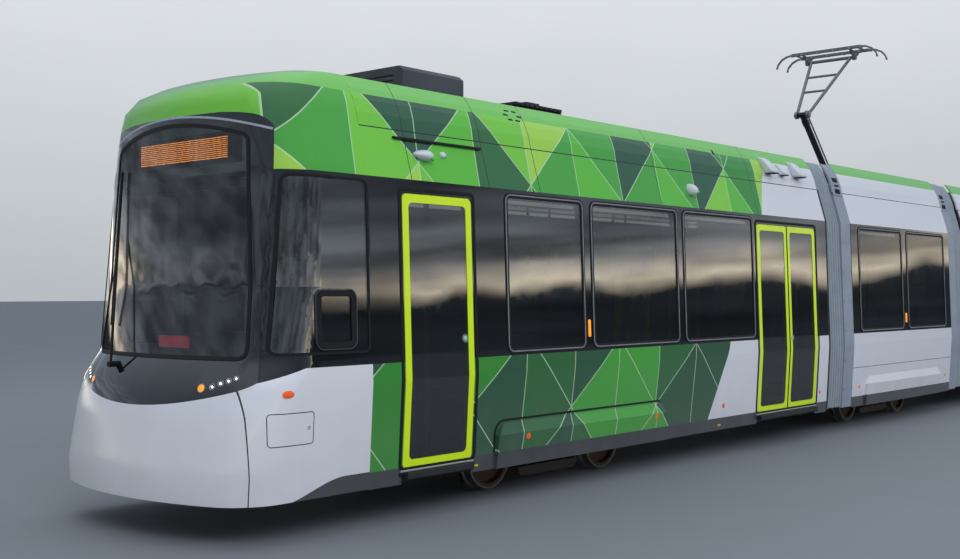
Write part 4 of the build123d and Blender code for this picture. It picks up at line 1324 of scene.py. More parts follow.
class TRAM_OT_side_fittings(bpy.types.Operator):
    """Fit markers, cameras, scoops, vents, the gutter and the lamps of the side walls"""

    bl_idname = "tram.side_fittings"
    bl_label = "Side fittings"

    def execute(self, context):
        walls = ("front_side_walls", "front_skirts", "front_roof")
        markers = []
        rims = []
        for x, height, radius, out in MARKERS:
            spot = from_side(walls, -x, height)
            markers.append(lens("marker", spot, radius, out))
            # The lenses on the bogie cover lie flush, without a rim
            if out > 0.005:
                rims.append(collar("rim", spot, radius * 1.05, 0.0025))
        at_four_places("round_markers", markers, "orange_marker")
        at_four_places("marker_rims", rims, "rubber")
        walls = ("centre_skirts", "centre_side_walls")
        markers = [
            lens("marker", from_side(walls, x, height), radius, 0.004) for x, height, radius in CENTRE_MARKERS
        ]
        dress(both_hands(joined("centre_markers", markers)), "orange_marker", "centre_module")
        lamps = [pad("amber", -8.055, -8.022, 1.435, 1.605, 0.012, 0.010)]
        at_four_places("pillar_lamps", lamps, "amber")
        lamp = pad("centre_pillar_lamp", -0.018, 0.018, 1.420, 1.560, 0.012, 0.010)
        dress(both_hands(lamp), "amber", "centre_module")
        # Rain gutter over the single door
        gutter = pad("gutter", -10.64, -9.53, 3.160, 3.182, 0.008, 0.022)
        at_both_ends(both_hands(gutter), "rubber")
        # Painted shadow: a dark line on the wall round the front and the top of the bogie cover, where the
        # cover's edge throws shade
        line = [(-9.462, 0.436), *bend((-9.462, 0.590), (-9.455, 0.716), (-9.320, 0.716)), (-6.755, 0.716)]
        gap = [
            wrapped(finer(bar("gap", (x0, -0.002, z0), (x1, -0.002, z1), 0.009, 10), 0.08))
            for (x0, z0), (x1, z1) in zip(line, line[1:])
        ]
        at_four_places("cover_edge_shadow", gap, "rubber")
        marks = [pad("mark", x - 0.032, x + 0.032, 0.330, 0.352, 0.004, 0.002) for x in (-9.70, -5.45)]
        at_four_places("jacking_marks", marks, "pole")
        # Painted shade: dark pads stand in for the shade inside the vent slots
        slot_shades = []
        for dx, dz in VENT_SLOTS:
            x, z = VENT_X + dx, VENT_Z + dz
            slot_shades.append(pad("slot", x - 0.036, x + 0.036, z - 0.009, z + 0.009, 0.008, 0.0015))
        slot_shades.append(pad("slot", -5.21, -5.17, 3.50, 3.56, 0.01, 0.0015))
        at_four_places("vent_slot_shades", slot_shades, "rubber")
        at_four_places("scoops", self.scoops(), "white_case")
        # The scoops' mouths are dark blocks of painted shade
        at_four_places("scoop_mouth_shade", self.mouth_shades(), "rubber")
        cases, eyes = self.cameras()
        at_four_places("camera_cases", cases, "white_case")
        at_four_places("camera_eyes", eyes, "mask")
        return {"FINISHED"}

    def scoops(self):
        """Hooded air scoops: they spread downwards and lean back, with an open foot."""
        made = []
        for x, size in SCOOPS:
            wide, tall, deep = 0.108 * size, 0.200 * size, 0.130 * size
            top = SCOOP_FOOT + tall
            piece = block("scoop", (x - wide, -deep, SCOOP_FOOT), (x + wide, 0.012, top), 0.030 * size, 4)
            for vertex in piece.data.vertices:
                share = min(1.0, max(0.0, (vertex.co.z - RAIL - SCOOP_FOOT) / tall))
                vertex.co.x = x + (vertex.co.x - x) * (1 - 0.28 * share) - 0.050 * size * share
                if vertex.co.y < 0:
                    vertex.co.y *= 1 - 0.70 * share**3
            made.append(wrapped(piece))
        return made

    def mouth_shades(self):
        """Painted shade: dark blocks stand in for the shade inside the scoops, seen at their feet and rear
        edges.
        """
        made = []
        for x, size in SCOOPS:
            wide, deep = 0.084 * size, 0.108 * size
            made.append(wrapped(block("mouth", (x - wide, -deep, 3.358), (x + wide, -0.012, 3.372), 0.004)))
        return made

    def cameras(self):
        """Teardrop and ball camera housings with their dark windows."""
        cases = []
        eyes = []
        for x, height, long, tall, deep in CAMERAS:
            case = added("case", bpy.ops.mesh.primitive_uv_sphere_add, segments=32, ring_count=16, radius=1)
            case.scale = (long, deep, tall)
            case.location = (x, 0.0, height + RAIL)
            settle(case)
            for vertex in case.data.vertices:
                # Pointed towards the front
                share = (x + long - vertex.co.x) / (2 * long)
                vertex.co.z += (height + RAIL - vertex.co.z) * 0.45 * share if long > 0.1 else 0.0
            edit(case)
            cut((0, 0.01, 0), (0, 1, 0), use_fill=True, clear_outer=True)
            done(case)
            cases.append(wrapped(case))
            eye = bar("eye", (x + 0.25 * long, -0.45 * deep, height - 0.1 * tall),
                      (x + 0.55 * long, -0.86 * deep, height - 0.55 * tall), 0.36 * tall, 20, 0.004)
            eyes.append(wrapped(eye))
        return cases, eyes


class TRAM_OT_door_fittings(bpy.types.Operator):
    """Fit door buttons, step plates and the comb under the single door"""

    bl_idname = "tram.door_fittings"
    bl_label = "Door fittings"

    def execute(self, context):
        rings = []
        caps = []
        leaves = ("front_doors", "front_side_glass")
        middle = sum(DOUBLE_DOOR) / 2
        for x, height in ((SINGLE_DOOR[1] - 0.115, 1.474), (middle + 0.075, 1.30)):
            spot = from_side(leaves, x, height)
            rings.append(collar("ring", spot, 0.034, 0.006))
            caps.append(lens("cap", spot, 0.026, 0.008))
        at_four_places("door_button_rings", rings, "aluminium")
        at_four_places("door_button_caps", caps, "button")
        plates = []
        ridges = []
        for x0, x1 in (SINGLE_DOOR, DOUBLE_DOOR):
            out = half_width(0.40)
            low, high = (x0 - 0.02, -out - 0.008, 0.384), (x1 + 0.02, -out + 0.055, 0.402)
            plates.append(block("plate", low, high, 0.003))
            for row in range(3):
                y = -out + 0.006 + row * 0.015
                ridges.append(block("ridge", (x0, y, 0.401), (x1, y + 0.005, 0.405), 0.001, 1))
        at_four_places("step_plates", plates + ridges, "sill")
        # Comb of bristles below the single door
        x0, x1 = SINGLE_DOOR
        tooth = bar("tooth", (x0 - 0.02, -1.268, 0.372), (x0 - 0.02, -1.272, 0.305), 0.0042, 6)
        repeated(tooth, 74, (0.0125, 0, 0))
        holder = block("holder", (x0 - 0.035, -1.284, 0.350), (x1 + 0.035, -1.262, 0.382), 0.005)
        at_four_places("door_combs", [tooth, holder], "rubber")
        return {"FINISHED"}


# Level of the roof deck, under cables, legs and units
ROOF_DECK = 3.24
# Cable runs: half spacing, height of their middle, ends
CABLE_Y, CABLE_HEIGHT, CABLE_ENDS = 0.62, 3.30, (-9.40, -3.30)
# Roof units: first x, last x, half width, top
ROOF_UNITS = (
    (-10.200, -9.400, 0.860, 3.880),
    (-8.900, -8.250, 0.560, 3.760),
    (-7.900, -6.100, 0.820, 3.560),
    (-5.700, -3.400, 0.820, 3.600),
)
CENTRE_UNITS = ((-1.700, -0.800, 0.820, 3.380), (1.000, 1.700, 0.820, 3.480))
SLAT_PITCH = 0.045


def unit_lid(x0, x1, half, top):
    """The lid of a roof unit, a little smaller than its top."""
    return slab("lid", x0 + 0.02, x1 - 0.02, half - 0.06, top - 0.004, top + 0.006, 0.004)


def fan(x, y, height, radius):
    """A round fan guard: rim, spokes, rings and hub on a roof unit."""
    spot = spot_at(x, y, height)
    parts = [
        collar("rim", spot, radius, 0.012, 32),
        collar("ring", spot, radius * 0.66, 0.005, 28),
        collar("ring", spot, radius * 0.36, 0.005, 20),
        post("hub", x, y, height - 0.004, height + 0.016, radius * 0.16, 20, 0.003),
    ]
    for turn in range(6):
        angle = pi * turn / 6
        dx, dy = cos(angle) * radius, sin(angle) * radius
        level = height + 0.006
        parts.append(bar("spoke", (x - dx, y - dy, level), (x + dx, y + dy, level), 0.004, 8))
    return parts


class TRAM_OT_roof_fittings(bpy.types.Operator):
    """Fit fan guards, louvres, lids, a sun shade, cable runs and an aerial on the roof"""

    bl_idname = "tram.roof_fittings"
    bl_label = "Roof fittings"

    def execute(self, context):
        guards = []
        slats = []
        lids = []
        for number, (x0, x1, half, top) in enumerate(ROOF_UNITS):
            middle = (x0 + x1) / 2
            lids.append(unit_lid(x0, x1, half, top))
            if number == 0:
                for y in (-0.42, 0.42):
                    guards += fan(middle, y, top + 0.006, 0.26)
            elif number == 1:
                guards += fan(middle, 0.0, top + 0.006, 0.20)
            else:
                for share in (0.25, 0.5, 0.75):
                    x = x0 + (x1 - x0) * share
                    lids.append(stud("strap", x, 0.0, 0.02, half - 0.05, top + 0.002, top + 0.012, 0.003))
            # The first unit has plain sides
            if number:
                low, high = (x0 + 0.10, -half - 0.004, top - 0.085), (x1 - 0.10, -half + 0.012, top - 0.070)
                slat = block("slat", low, high, 0.003, 1)
                slats.append(both_hands(repeated(slat, 3 if number > 1 else 5, (0, 0, -SLAT_PITCH))))
            end = slab("slat", x0 - 0.004, x0 + 0.012, half - 0.12, top - 0.085, top - 0.070, 0.003, 1)
            slats.append(repeated(end, 2, (0, 0, -SLAT_PITCH)))
        at_both_ends(joined("roof_unit_lids", lids), "roof_gear")
        at_both_ends(joined("fan_guards", guards), "panto_black")
        at_both_ends(joined("roof_louvres", slats), "rubber")
        cables = []
        for y in (-CABLE_Y, CABLE_Y):
            cables.append(bar("run", *((x, y, CABLE_HEIGHT) for x in CABLE_ENDS), 0.022, 12))
            for x in (-9.2, -8.1, -6.0, -3.35):
                cables.append(stud("clip", x, y, 0.02, 0.035, ROOF_DECK, CABLE_HEIGHT + 0.030, 0.004))
        at_both_ends(joined("roof_cables", cables), "rubber")
        self.shade_roof()
        base = slab("aerial_base", -9.21, -9.09, 0.05, 3.20, 3.690, 0.01)
        puck = lens("puck", spot_at(-9.15, 0.0, 3.690), 0.045, 0.035)
        at_both_ends(joined("aerial", [base, puck]), "white_case")
        lids = []
        slats = []
        for x0, x1, half, top in CENTRE_UNITS:
            lids.append(unit_lid(x0, x1, half, top))
            slat = slab("slat", x0 + 0.08, x0 + 0.10, half - 0.10, top + 0.004, top + 0.022, 0.003, 1)
            slats.append(repeated(slat, 12, (0.05, 0, 0)))
        dress(joined("centre_roof_lids", lids), "roof_gear", "centre_module")
        dress(joined("centre_roof_louvres", slats), "rubber", "centre_module")
        return {"FINISHED"}

    def shade_roof(self):
        """A slatted sun shade on legs over the low unit behind the fans."""
        x0, x1, half, top = -8.220, -7.440, 0.520, 3.830
        parts = [repeated(slab("slat", x0, x0 + 0.062, half, top - 0.035, top, 0.006), 10, (0.080, 0, 0))]
        for y in (-half + 0.05, half - 0.05):
            parts.append(slab("rail", x0 - 0.01, x1 + 0.03, 0.02, top - 0.065, top - 0.030, 0.004, y=y))
            for x, foot in ((x0 + 0.03, ROOF_DECK), (x1 - 0.05, 3.54)):
                parts.append(stud("leg", x, y, 0.02, 0.015, foot, top - 0.05, 0.003))
        low, high = (x0 + 0.20, -half + 0.02, top - 0.01), (x0 + 0.42, -half + 0.16, top + 0.022)
        parts.append(block("box", low, high, 0.008))
        at_both_ends(joined("roof_shade", parts), "frame_dark")


# Grab poles of an end module: x, half spacing
POLES = ((-10.560, 0.620), (-9.640, 0.620), (-4.640, 0.520), (-2.900, 0.980))
# Two-place seats: x, floor under the seat, facing
SEATS = ((-9.040, 0.730, 1), (-7.980, 0.730, -1), (-7.380, 0.730, 1), (-6.150, 0.380, -1), (-5.500, 0.380, 1))
CENTRE_SEATS = ((-0.700, 0.730, 1), (0.700, 0.730, -1))
SEAT_Y = 0.800
FLOOR, CEILING = 0.395, 2.800
# Hand rails: half spacing, height
RAIL_Y, RAIL_HEIGHT = 0.46, 2.020


def cushion(name, length, width, depth):
    """A crowned pad with pulled-in sides and two sewn channels, lying flat at the origin."""
    piece = added(name, bpy.ops.mesh.primitive_cube_add, size=1)
    piece.scale = (length, width, depth)
    settle(piece)
    edit(piece)
    bpy.ops.mesh.subdivide(number_cuts=7)
    done(piece)
    for vertex in piece.data.vertices:
        u, v, w = vertex.co.x / length * 2, vertex.co.y / width * 2, vertex.co.z / depth * 2
        pull = 0.06 * (1 - min(1.0, abs(v)) ** 2) if abs(u) > 0.9 else 0.0
        vertex.co.x *= 1 - pull * 0.4
        pull = 0.06 * (1 - min(1.0, abs(u)) ** 2) if abs(v) > 0.9 else 0.0
        vertex.co.y *= 1 - pull * 0.4
        if w > 0:
            crown = (1 - u * u) * (1 - v * v)
            vertex.co.z += 0.30 * depth * crown * w
            if abs(abs(u) - 0.5) < 0.06:
                vertex.co.z -= 0.10 * depth
            if abs(u) > 0.97 or abs(v) > 0.97:
                vertex.co.z -= 0.22 * depth
    soft = piece.modifiers.new("soft", "SUBSURF")
    soft.levels = 1
    soft.render_levels = 1
    return apply_all(piece)


def seat_pads(name, rows):
    """Seat and back pads of every seat in a list, as one mesh."""
    base = cushion("base", 0.375, 0.305, 0.055)
    rest = cushion("rest", 0.430, 0.300, 0.045)
    pads = []
    for x, floor, facing in rows:
        for side in SIDES:
            for place in (-0.165, 0.165):
                y = side * SEAT_Y + place
                for source, at, tilt in ((base, (0.035, 0.449), 0.05), (rest, (-0.183, 0.665), -1.40)):
                    pad_copy = source.copy()
                    pad_copy.data = source.data.copy()
                    bpy.context.collection.objects.link(pad_copy)
                    turn = Matrix.Rotation(-tilt if facing > 0 else tilt, 4, "Y")
                    shift = Matrix.Translation((x + facing * at[0], y, floor + at[1] + RAIL))
                    pad_copy.data.transform(shift @ turn)
                    pads.append(pad_copy)
    for source in (base, rest):
        bpy.data.objects.remove(source)
    return joined(name, pads)


class TRAM_OT_saloon(bpy.types.Operator):
    """Furnish the saloons: seat pads, yellow poles, hand rails and ceiling lights"""

    bl_idname = "tram.saloon"
    bl_label = "Saloon"

    def execute(self, context):
        pads = seat_pads("seat_pads", SEATS)
        made = at_both_ends(pads, "seat")
        pads = seat_pads("centre_seat_pads", CENTRE_SEATS)
        dress(pads, "seat", "centre_module")
        rails = []
        for x, half in POLES:
            for side in SIDES:
                rails.append(post("pole", x, side * half, FLOOR, CEILING, 0.0185, 16))
                rails.append(post("foot", x, side * half, 0.382, 0.400, 0.040, 20, 0.004))
        for y in (-RAIL_Y, RAIL_Y):
            rails.append(bar("rail", (-9.55, y, RAIL_HEIGHT), (-4.75, y, RAIL_HEIGHT), 0.0165, 14))
            for x in (-9.50, -7.95, -6.40, -4.80):
                rails.append(post("drop", x, y, RAIL_HEIGHT, CEILING + 0.015, 0.0150, 12))
        at_both_ends(joined("hand_rails", rails), "pole")
        at_both_ends(self.lights("ceiling_lights", -10.75, -2.95), "ceiling_light")
        lights = self.lights("centre_ceiling_lights", -1.75, 1.75)
        dress(lights, "ceiling_light", "centre_module")
        return {"FINISHED"}

    def lights(self, name, x0, x1):
        """Two strip lights along the ceiling."""
        return joined(name, [slab("strip", x0, x1, 0.05, 2.775, 2.805, 0.008, y=y) for y in (-0.52, 0.52)])


class TRAM_OT_displays(bpy.types.Operator):
    """Set the amber and red dot displays behind the glass, with a plain raster and no words"""

    bl_idname = "tram.displays"
    bl_label = "Displays"

    def execute(self, context):
        housings = []
        raster = []
        # Over the windscreen
        housings.append(slab("box", -11.888, -11.820, 0.70, 2.905, 3.155, 0.008))
        raster.append(slab("dots", -11.892, -11.887, 0.60, 2.945, 3.115, 0.001))
        # High in the second window
        out = half_width(2.53)
        for side in SIDES:
            y = side * (out - 0.075)
            inner, face = y - side * 0.05, y + side * 0.005
            housings.append(block("box", (-7.72, min(y, inner), 2.37), (-6.55, max(y, inner), 2.60), 0.008))
            raster.append(block("dots", (-7.62, min(y, face), 2.415), (-6.65, max(y, face), 2.565), 0.001))
        at_both_ends(joined("display_housings", housings), "cab_plastic")
        at_both_ends(joined("amber_displays", raster), "amber_display")
        red = block("red_display", (-12.075, -0.36, 1.435), (-12.070, 0.06, 1.530), 0.001)
        at_both_ends(red, "red_display")
        case = block("red_display_case", (-12.070, -0.40, 1.405), (-12.015, 0.10, 1.555), 0.008)
        at_both_ends(case, "cab_plastic")
        return {"FINISHED"}


BEAM_Y = 0.520
DAMPER_Y = 0.600
# Axle cap: distance of its face from the middle, radius, radius of the ring of bolts
CAP_Y, CAP_RADIUS, BOLT_RADIUS = 0.813, 0.075, 0.044


def coil(name, x, y, low, high, radius, wire, turns=5):
    """A coil spring: a ring of wire drawn up into a helix."""
    piece = added(
        name, bpy.ops.mesh.primitive_circle_add,
        vertices=8, radius=wire, location=(radius, 0, 0), rotation=(pi / 2, 0, 0),
    )
    settle(piece)
    screw = piece.modifiers.new("coil", "SCREW")
    screw.angle = 2 * pi * turns
    screw.screw_offset = high - low
    screw.steps = 14 * turns
    screw.render_steps = 14 * turns
    screw.use_merge_vertices = False
    apply_all(piece)
    piece.location = (x, y, low + RAIL)
    settle(piece)
    edit(piece)
    bpy.ops.mesh.select_all(action="DESELECT")
    bpy.ops.mesh.select_mode(type="EDGE")
    bpy.ops.mesh.select_non_manifold()
    bpy.ops.mesh.edge_face_add()
    bpy.ops.mesh.select_mode(type="FACE")
    done(piece)
    return recalculated(piece)


class TRAM_OT_bogie_fittings(bpy.types.Operator):
    """Fit springs, dampers, axle caps and sand pipes to the bogies"""

    bl_idname = "tram.bogie_fittings"
    bl_label = "Bogie fittings"

    def execute(self, context):
        for name, x in BOGIES:
            springs = []
            dampers = []
            hoses = []
            for side in SIDES:
                for end in (-1, 1):
                    # Outside the plain spring of the frame, under the floor
                    middle = x + end * 0.330
                    springs.append(coil("coil", middle, side * BEAM_Y, 0.325, 0.418, 0.094, 0.010, 4))
                    root = (x + end * 0.50, side * DAMPER_Y, 0.255)
                    tip = (x + end * 0.20, side * DAMPER_Y, 0.385)
                    joint = tuple(a + (b - a) * 0.52 for a, b in zip(root, tip))
                    dampers.append(bar("tube", root, joint, 0.030, 16, 0.004))
                    dampers.append(bar("rod", joint, tip, 0.014, 12))
                    for (at, _, height), radius in ((root, 0.034), (tip, 0.026)):
                        inner, outer = side * (DAMPER_Y - 0.028), side * (DAMPER_Y + 0.028)
                        dampers.append(pin("eye", at, height, inner, outer, radius, 16, 0.003))
                    # Sand pipe just ahead of the wheel's foot
                    knee = (x + end * 1.190, side * 0.640, 0.235)
                    foot = (x + end * 1.235, side * 0.735, 0.085)
                    hoses.append(bar("pipe", knee, foot, 0.016, 12, 0.0))
                    hoses.append(bar("pipe", (x + end * 1.080, side * 0.560, 0.290), knee, 0.016, 12, 0.0))
                    bend_x, bend_y, level = knee
                    hoses.append(post("cuff", bend_x, bend_y, level - 0.022, level + 0.022, 0.024, 12, 0.003))
            dress(joined(f"{name}_bogie_springs", springs), "spring", f"{name}_bogie")
            dress(joined(f"{name}_bogie_dampers", dampers), "panto_black", f"{name}_bogie")
            dress(joined(f"{name}_sand_pipes", hoses), "rubber", f"{name}_bogie")
            for number, offset in WHEELSETS:
                caps = []
                for side in SIDES:
                    y = side * CAP_Y
                    centre = x + offset
                    spot = spot_at(centre, y, WHEEL_CENTRE, (0, side, 0))
                    caps.append(collar("cap", spot, CAP_RADIUS, 0.010, 28))
                    inner, outer = y - side * 0.004, y + side * 0.014
                    caps.append(pin("hub", centre, WHEEL_CENTRE, inner, outer, 0.062, 28, 0.004))
                    for turn in range(6):
                        angle = pi * turn / 3
                        bx, bz = centre + BOLT_RADIUS * cos(angle), WHEEL_CENTRE + BOLT_RADIUS * sin(angle)
                        caps.append(pin("bolt", bx, bz, y, y + side * 0.024, 0.010, 6, 0.002))
                piece = joined(f"{name}_axle_caps_{number}", caps)
                dress(piece, "spring", f"{name}_wheelset_{number}")
        return {"FINISHED"}


PANTO_BASE = (0.300, 3.580)
PANTO_KNEE = (-0.700, 4.570)
PANTO_HEAD = (0.290, 5.550)
STRIP_TOP = 5.690


class TRAM_OT_pantograph_fittings(bpy.types.Operator):
    """Fit carbon strips, springs, insulator sheds and pivot caps to the pantograph"""

    bl_idname = "tram.pantograph_fittings"
    bl_label = "Pantograph fittings"

    def execute(self, context):
        sheds = []
        for dx in (-0.640, 0.390):
            for y in (-0.430, 0.430):
                x = PANTO_BASE[0] + dx
                for level in range(5):
                    height = 3.020 + level * 0.068
                    sheds.append(post("shed", x, y, height, height + 0.026, 0.068, 28, 0.006, 0.048))
                sheds.append(post("core", x, y, 2.955, 3.340, 0.036, 20, 0.0))
        dress(joined("panto_insulators", sheds), "insulator", "centre_module")
        strips = []
        clamps = []
        for dx in (-0.180, 0.180):
            x = PANTO_HEAD[0] + dx
            foot, low, high = STRIP_TOP - 0.046, STRIP_TOP - 0.022, STRIP_TOP - 0.0005
            strips.append(slab("strip", x - 0.020, x + 0.020, 0.560, low, high, 0.004))
            for y in (-0.40, -0.13, 0.13, 0.40):
                clamps.append(stud("clamp", x, y, 0.031, 0.016, foot, STRIP_TOP - 0.018, 0.003))
            for side in SIDES:
                clamps.append(stud("end", x, side * 0.575, 0.031, 0.02, foot, STRIP_TOP - 0.004, 0.004))
        dress(joined("contact_strips", strips), "carbon", "panto_head")
        dress(joined("strip_clamps", clamps), "aluminium", "panto_head")
        # Springs between base and lower arm, seen beside its foot
        springs = []
        for side in SIDES:
            y = side * 0.165
            springs += [
                bar("spring", (0.165, y, 3.530), (-0.380, y, 3.500), 0.036, 20, 0.004),
                bar("rod", (0.235, y, 3.534), (0.165, y, 3.530), 0.012, 12),
                bar("anchor", (-0.380, y, 3.500), (-0.435, y, 3.470), 0.014, 12),
                slab("bracket", -0.460, -0.405, 0.03, 3.420, 3.490, 0.006, y=y),
            ]
        dress(joined("panto_base_springs", springs), "spring", "centre_module")
        caps = [pin("cap", *PANTO_KNEE, side * 0.112, side * 0.126, 0.040, 24, 0.004) for side in SIDES]
        # Sleeve on the lower arm, from 0.07 to 0.14 of its length below the knee
        ends = []
        for share in (0.07, 0.14):
            x, height = (knee * (1 - share) + foot * share for knee, foot in zip(PANTO_KNEE, PANTO_BASE))
            ends.append((x, 0, height))
        sleeve = bar("sleeve", *ends, 0.054, 24, 0.006)
        dress(joined("panto_knee_caps", caps), "aluminium", "panto_upper_arm")
        dress(sleeve, "panto_black", "panto_lower_arm")
        ends = []
        for y in (-0.390, 0.390):
            ends.append(pin("pivot", *PANTO_HEAD, y - 0.032, y + 0.032, 0.030, 24, 0.004))
            for dx in (-0.11, 0.11):
                ends.append(coil("head_spring", PANTO_HEAD[0] + dx, y, 5.585, 5.648, 0.020, 0.004, 5))
        dress(joined("panto_head_springs", ends), "spring", "panto_head")
        return {"FINISHED"}


class TRAM_OT_cab_fittings(bpy.types.Operator):
    """Furnish the cab: seat pads, desk screens, levers and the sun blind"""

    bl_idname = "tram.cab_fittings"
    bl_label = "Cab fittings"

    def execute(self, context):
        x = -11.500
        pads = []
        for length, width, depth, at, turn in (
            (0.46, 0.44, 0.09, (x, 0.900), 0.0),
            (0.62, 0.42, 0.09, (x + 0.215, 1.240), 1.74),
            (0.15, 0.24, 0.07, (x + 0.300, 1.675), 1.60),
        ):
            made = cushion("pad", length, width, depth)
            made.data.transform(Matrix.Translation((at[0], 0, at[1] + RAIL)) @ Matrix.Rotation(-turn, 4, "Y"))
            pads.append(made)
        for piece in at_both_ends(joined("driver_seat_pads", pads), "seat"):
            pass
        screens = []
        cases = []
        for y in (-0.32, 0.0, 0.32):
            cases.append(slab("case", -12.030, -11.990, 0.130, 1.200, 1.360, 0.010, y=y))
            screens.append(slab("glass", -11.991, -11.986, 0.115, 1.215, 1.345, 0.002, y=y))
        for y in (-0.52, 0.52):
            cases += [
                post("lever", -11.80, y, 1.10, 1.235, 0.014, 16, 0.003),
                post("knob", -11.80, y, 1.215, 1.265, 0.027, 20, 0.010),
                slab("plinth", -11.88, -11.72, 0.07, 1.095, 1.125, 0.008, y=y),
            ]
        for row in range(5):
            for y in (-0.72, 0.72):
                cases.append(post("switch", -11.78 - row * 0.035, y, 1.12, 1.150, 0.010, 12, 0.002))
        at_both_ends(joined("desk_fittings", cases), "cab_plastic")
        at_both_ends(joined("desk_screens", screens), "mask")
        blind = [pin("roller", -11.870, 2.800, -0.78, 0.78, 0.024, 20, 0.004),
                 slab("blind", -11.884, -11.880, 0.74, 2.700, 2.800, 0.0015)]
        at_both_ends(joined("sun_blind", blind), "rubber")
        return {"FINISHED"}


# Portals: distance from the tram's middle, heights of the bolts and of the slats in the recess
PORTAL_X = 2.0
BOLT_HEIGHTS = (0.55, 0.95, 1.35, 1.75, 2.15, 2.55)
SLAT_HEIGHTS = (3.28, 3.34, 3.40)


class TRAM_OT_portal_fittings(bpy.types.Operator):
    """Fit the head plate, the vent, whose recess is a dark plate of painted shade with slats, and the bolts
    of the portals
    """

    bl_idname = "tram.portal_fittings"
    bl_label = "Portal fittings"

    def execute(self, context):
        for end, sign in ENDS:
            # Painted shade: a dark plate with dark slats stands in for the shade in the vent's recess
            recess = [pad("plate", -0.075, 0.085, 3.225, 3.450, 0.012, 0.005)]
            for height in SLAT_HEIGHTS:
                recess.append(pad("slat", -0.060, 0.070, height - 0.012, height + 0.012, 0.006, 0.010))
            head = rounded_plate("head", -0.150, 0.150, 3.200, 3.640, 0.012)
            thick(head, 0.002, 0.030, 0.003)
            head = wrapped(finer(head, 0.055))
            trims = []
            for height in BOLT_HEIGHTS:
                for x in (-0.12, 0.12):
                    trims.append(wrapped(pin("bolt", x, height, 0.002, -0.005, 0.011, 12, 0.002)))
            for pieces, label, finish, slot in (
                ([head], "portal_head", "portal", "portal_paint"),
                (recess, "portal_vent_shade", "rubber", "rubber_black"),
                (trims, "portal_bolts", "aluminium", "sill_metal"),
            ):
                piece = joined(f"{end}_{label}", pieces)
                piece.data.transform(Matrix.Translation((sign * PORTAL_X, 0, 0)))
                dress(both_hands(piece), finish, "centre_module")
        return {"FINISHED"}


class TRAM_OT_finishes(bpy.types.Operator):
    """Mix every finish and give it to the nodes of the frame"""

    bl_idname = "tram.finishes"
    bl_label = "Finishes"

    def execute(self, context):
        look = context.scene.tram_look
        FINISH.update(finishes(look))
        for node, item in NODES.items():
            item.data.materials.clear()
            item.data.materials.append(node_finish(node))
        for bogie, middle in BOGIES:
            for number, offset in WHEELSETS:
                name = f"{bogie}_wheelset_{number}"
                NODES[name].data.materials[0] = wheel_steel(f"rolled_steel_{name}", middle + offset)
        return {"FINISHED"}


class TRAM_OT_shells(bpy.types.Operator):
    """Give the curved shells of both cabs smooth faces"""

    bl_idname = "tram.shells"
    bl_label = "Cab shells"

    def execute(self, context):
        for end, _ in ENDS:
            for ending, slot in SHELLS:
                node = f"{end}_{ending}"
                piece = merged(node, f"{node}_smooth")
                piece.data.materials.append(node_finish(node))
                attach(piece, f"{end}_module")
                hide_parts(node)
        return {"FINISHED"}


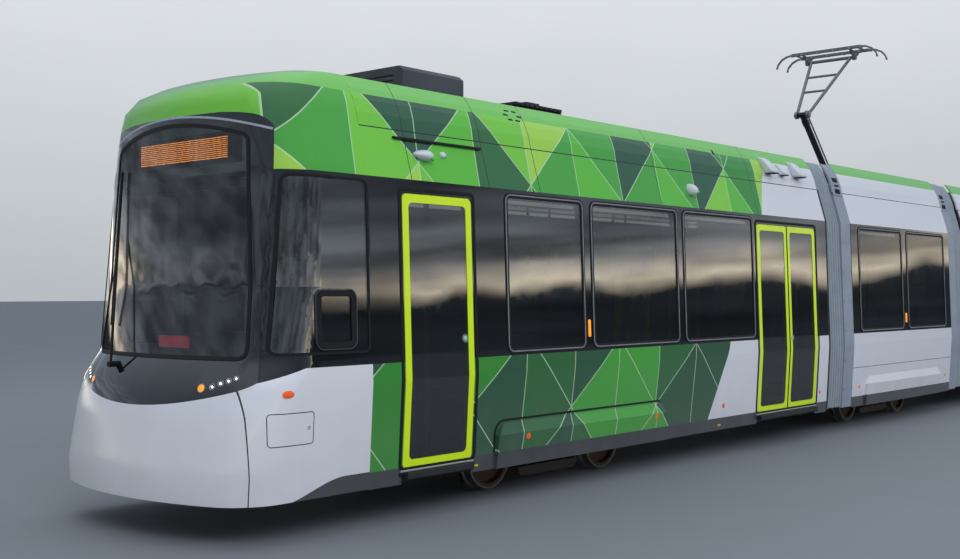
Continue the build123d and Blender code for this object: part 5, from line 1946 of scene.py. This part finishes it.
class TRAM_OT_stage(bpy.types.Operator):
    """Set the floor, the sky, the soft lights and the camera"""

    bl_idname = "tram.stage"
    bl_label = "Stage"

    def execute(self, context):
        scene = context.scene
        floor = added("floor", bpy.ops.mesh.primitive_grid_add, x_subdivisions=8, y_subdivisions=8, size=400)
        floor.data.materials.append(stage_material("grey_floor", "84888C", "7C8084"))
        world = bpy.data.worlds.new("studio")
        scene.world = world
        world.use_nodes = True
        tree = world.node_tree
        tree.nodes.clear()
        place = put(tree, "TexCoord").outputs["Generated"]
        height = put(tree, "SeparateXYZ", place).outputs["Z"]
        uneven = put(tree, "TexNoise", place, None, 9.0, 3.0)
        bumps = maths(tree, "MULTIPLY_ADD", uneven, 0.06, -0.03)
        height = maths(tree, "ADD", height, bumps)
        # What the glass and paint reflect: a dark tree line, a bright horizon and a grey-blue sky
        sky = colour_ramp(tree, height, (0.040, "262B2F"), (1.0, "DCE6F4"), (0.050, "FFF0D6"),
                          (0.072, "A4A6A8"), (0.10, "97A0AA"), (0.34, "8A97A6"), (0.60, "AFB9C6"))
        # What the camera sees behind the tram
        back = colour_ramp(tree, height, (0.0, "B8BDC2"), (0.30, "E6EAEE"))
        # Level streaks of cloud, and a horizon brighter than the sky above
        level = put(tree, "Mapping", place, None, None, (2.2, 2.2, 24.0))
        cloud = put(tree, "TexNoise", level, None, 2.0, 2.5)
        streaks = remap(tree, cloud, 0.35, 0.66, 0.45, 1.75)
        plain = remap(tree, height, 0.12, 0.35, 0.0, 1.0)
        streaks = mix(tree, plain, streaks, (1.0, 1.0, 1.0, 1.0))
        glow = remap(tree, height, 0.05, 0.13, 2.5, 1.05)
        glow = maths(tree, "MULTIPLY", glow, streaks)
        sky = put(tree, "Background", sky, glow)
        seen = put(tree, "Background", back, 1.0)
        rays = put(tree, "LightPath").outputs["Is Camera Ray"]
        mixed = put(tree, "MixShader", rays, sky, seen)
        put(tree, "OutputWorld", mixed)
        for name, place, size, power in LIGHTS:
            lamp = added(name, bpy.ops.object.light_add, type="AREA", location=place)
            lamp.data.shape = "RECTANGLE"
            lamp.data.size, lamp.data.size_y = size
            lamp.data.energy = power
            lamp.data.color = linear("F4F6FF")[:3]
            # The soft boxes light the paint but don't show in it
            lamp.visible_glossy = False
            aim = Vector(LIGHT_TARGET) - Vector(place)
            lamp.rotation_euler = aim.to_track_quat("-Z", "Y").to_euler()
        camera = added("photo_camera", bpy.ops.object.camera_add, location=CAMERA_PLACE, rotation=CAMERA_TURN)
        camera.data.lens = 45.0
        camera.data.sensor_width = 36.0
        camera.data.clip_end = 600.0
        scene.camera = camera
        scene.view_settings.view_transform = "Standard"
        return {"FINISHED"}


class TRAM_PT_panel(bpy.types.Panel):
    """Shows the tram's colours, sizes and building steps in the sidebar"""

    bl_idname = "TRAM_PT_panel"
    bl_label = "Articulated tram"
    bl_space_type = "VIEW_3D"
    bl_region_type = "UI"
    bl_category = "Tram"

    def draw(self, context):
        layout = self.layout
        for key in ("tram_look", "tram_fittings"):
            group = getattr(context.scene, key)
            for word in group.bl_rna.properties.keys():
                if word not in ("rna_type", "name"):
                    layout.prop(group, word)
        for operator in STEPS:
            layout.operator(operator.bl_idname)


STEPS = (
    TRAM_OT_finishes,
    TRAM_OT_shells,
    TRAM_OT_glazing,
    TRAM_OT_bellows,
    TRAM_OT_front_lamps,
    TRAM_OT_front_trims,
    TRAM_OT_side_fittings,
    TRAM_OT_door_fittings,
    TRAM_OT_roof_fittings,
    TRAM_OT_saloon,
    TRAM_OT_displays,
    TRAM_OT_bogie_fittings,
    TRAM_OT_pantograph_fittings,
    TRAM_OT_cab_fittings,
    TRAM_OT_portal_fittings,
    TRAM_OT_stage,
)


def register():
    """Registers the groups, the operators and the panel."""
    for made in (TramLook, TramFittings, *STEPS, TRAM_PT_panel):
        bpy.utils.register_class(made)
    bpy.types.Scene.tram_look = bpy.props.PointerProperty(type=TramLook)
    bpy.types.Scene.tram_fittings = bpy.props.PointerProperty(type=TramFittings)


def unregister():
    """Takes them out again."""
    del bpy.types.Scene.tram_fittings
    del bpy.types.Scene.tram_look
    for made in (TRAM_PT_panel, *reversed(STEPS), TramFittings, TramLook):
        bpy.utils.unregister_class(made)


def main():
    """Builds the whole visual model."""
    register()
    deselect()
    for operator in STEPS:
        family, call = operator.bl_idname.split(".")
        getattr(getattr(bpy.ops, family), call)()


if __name__ == "__main__":
    main()
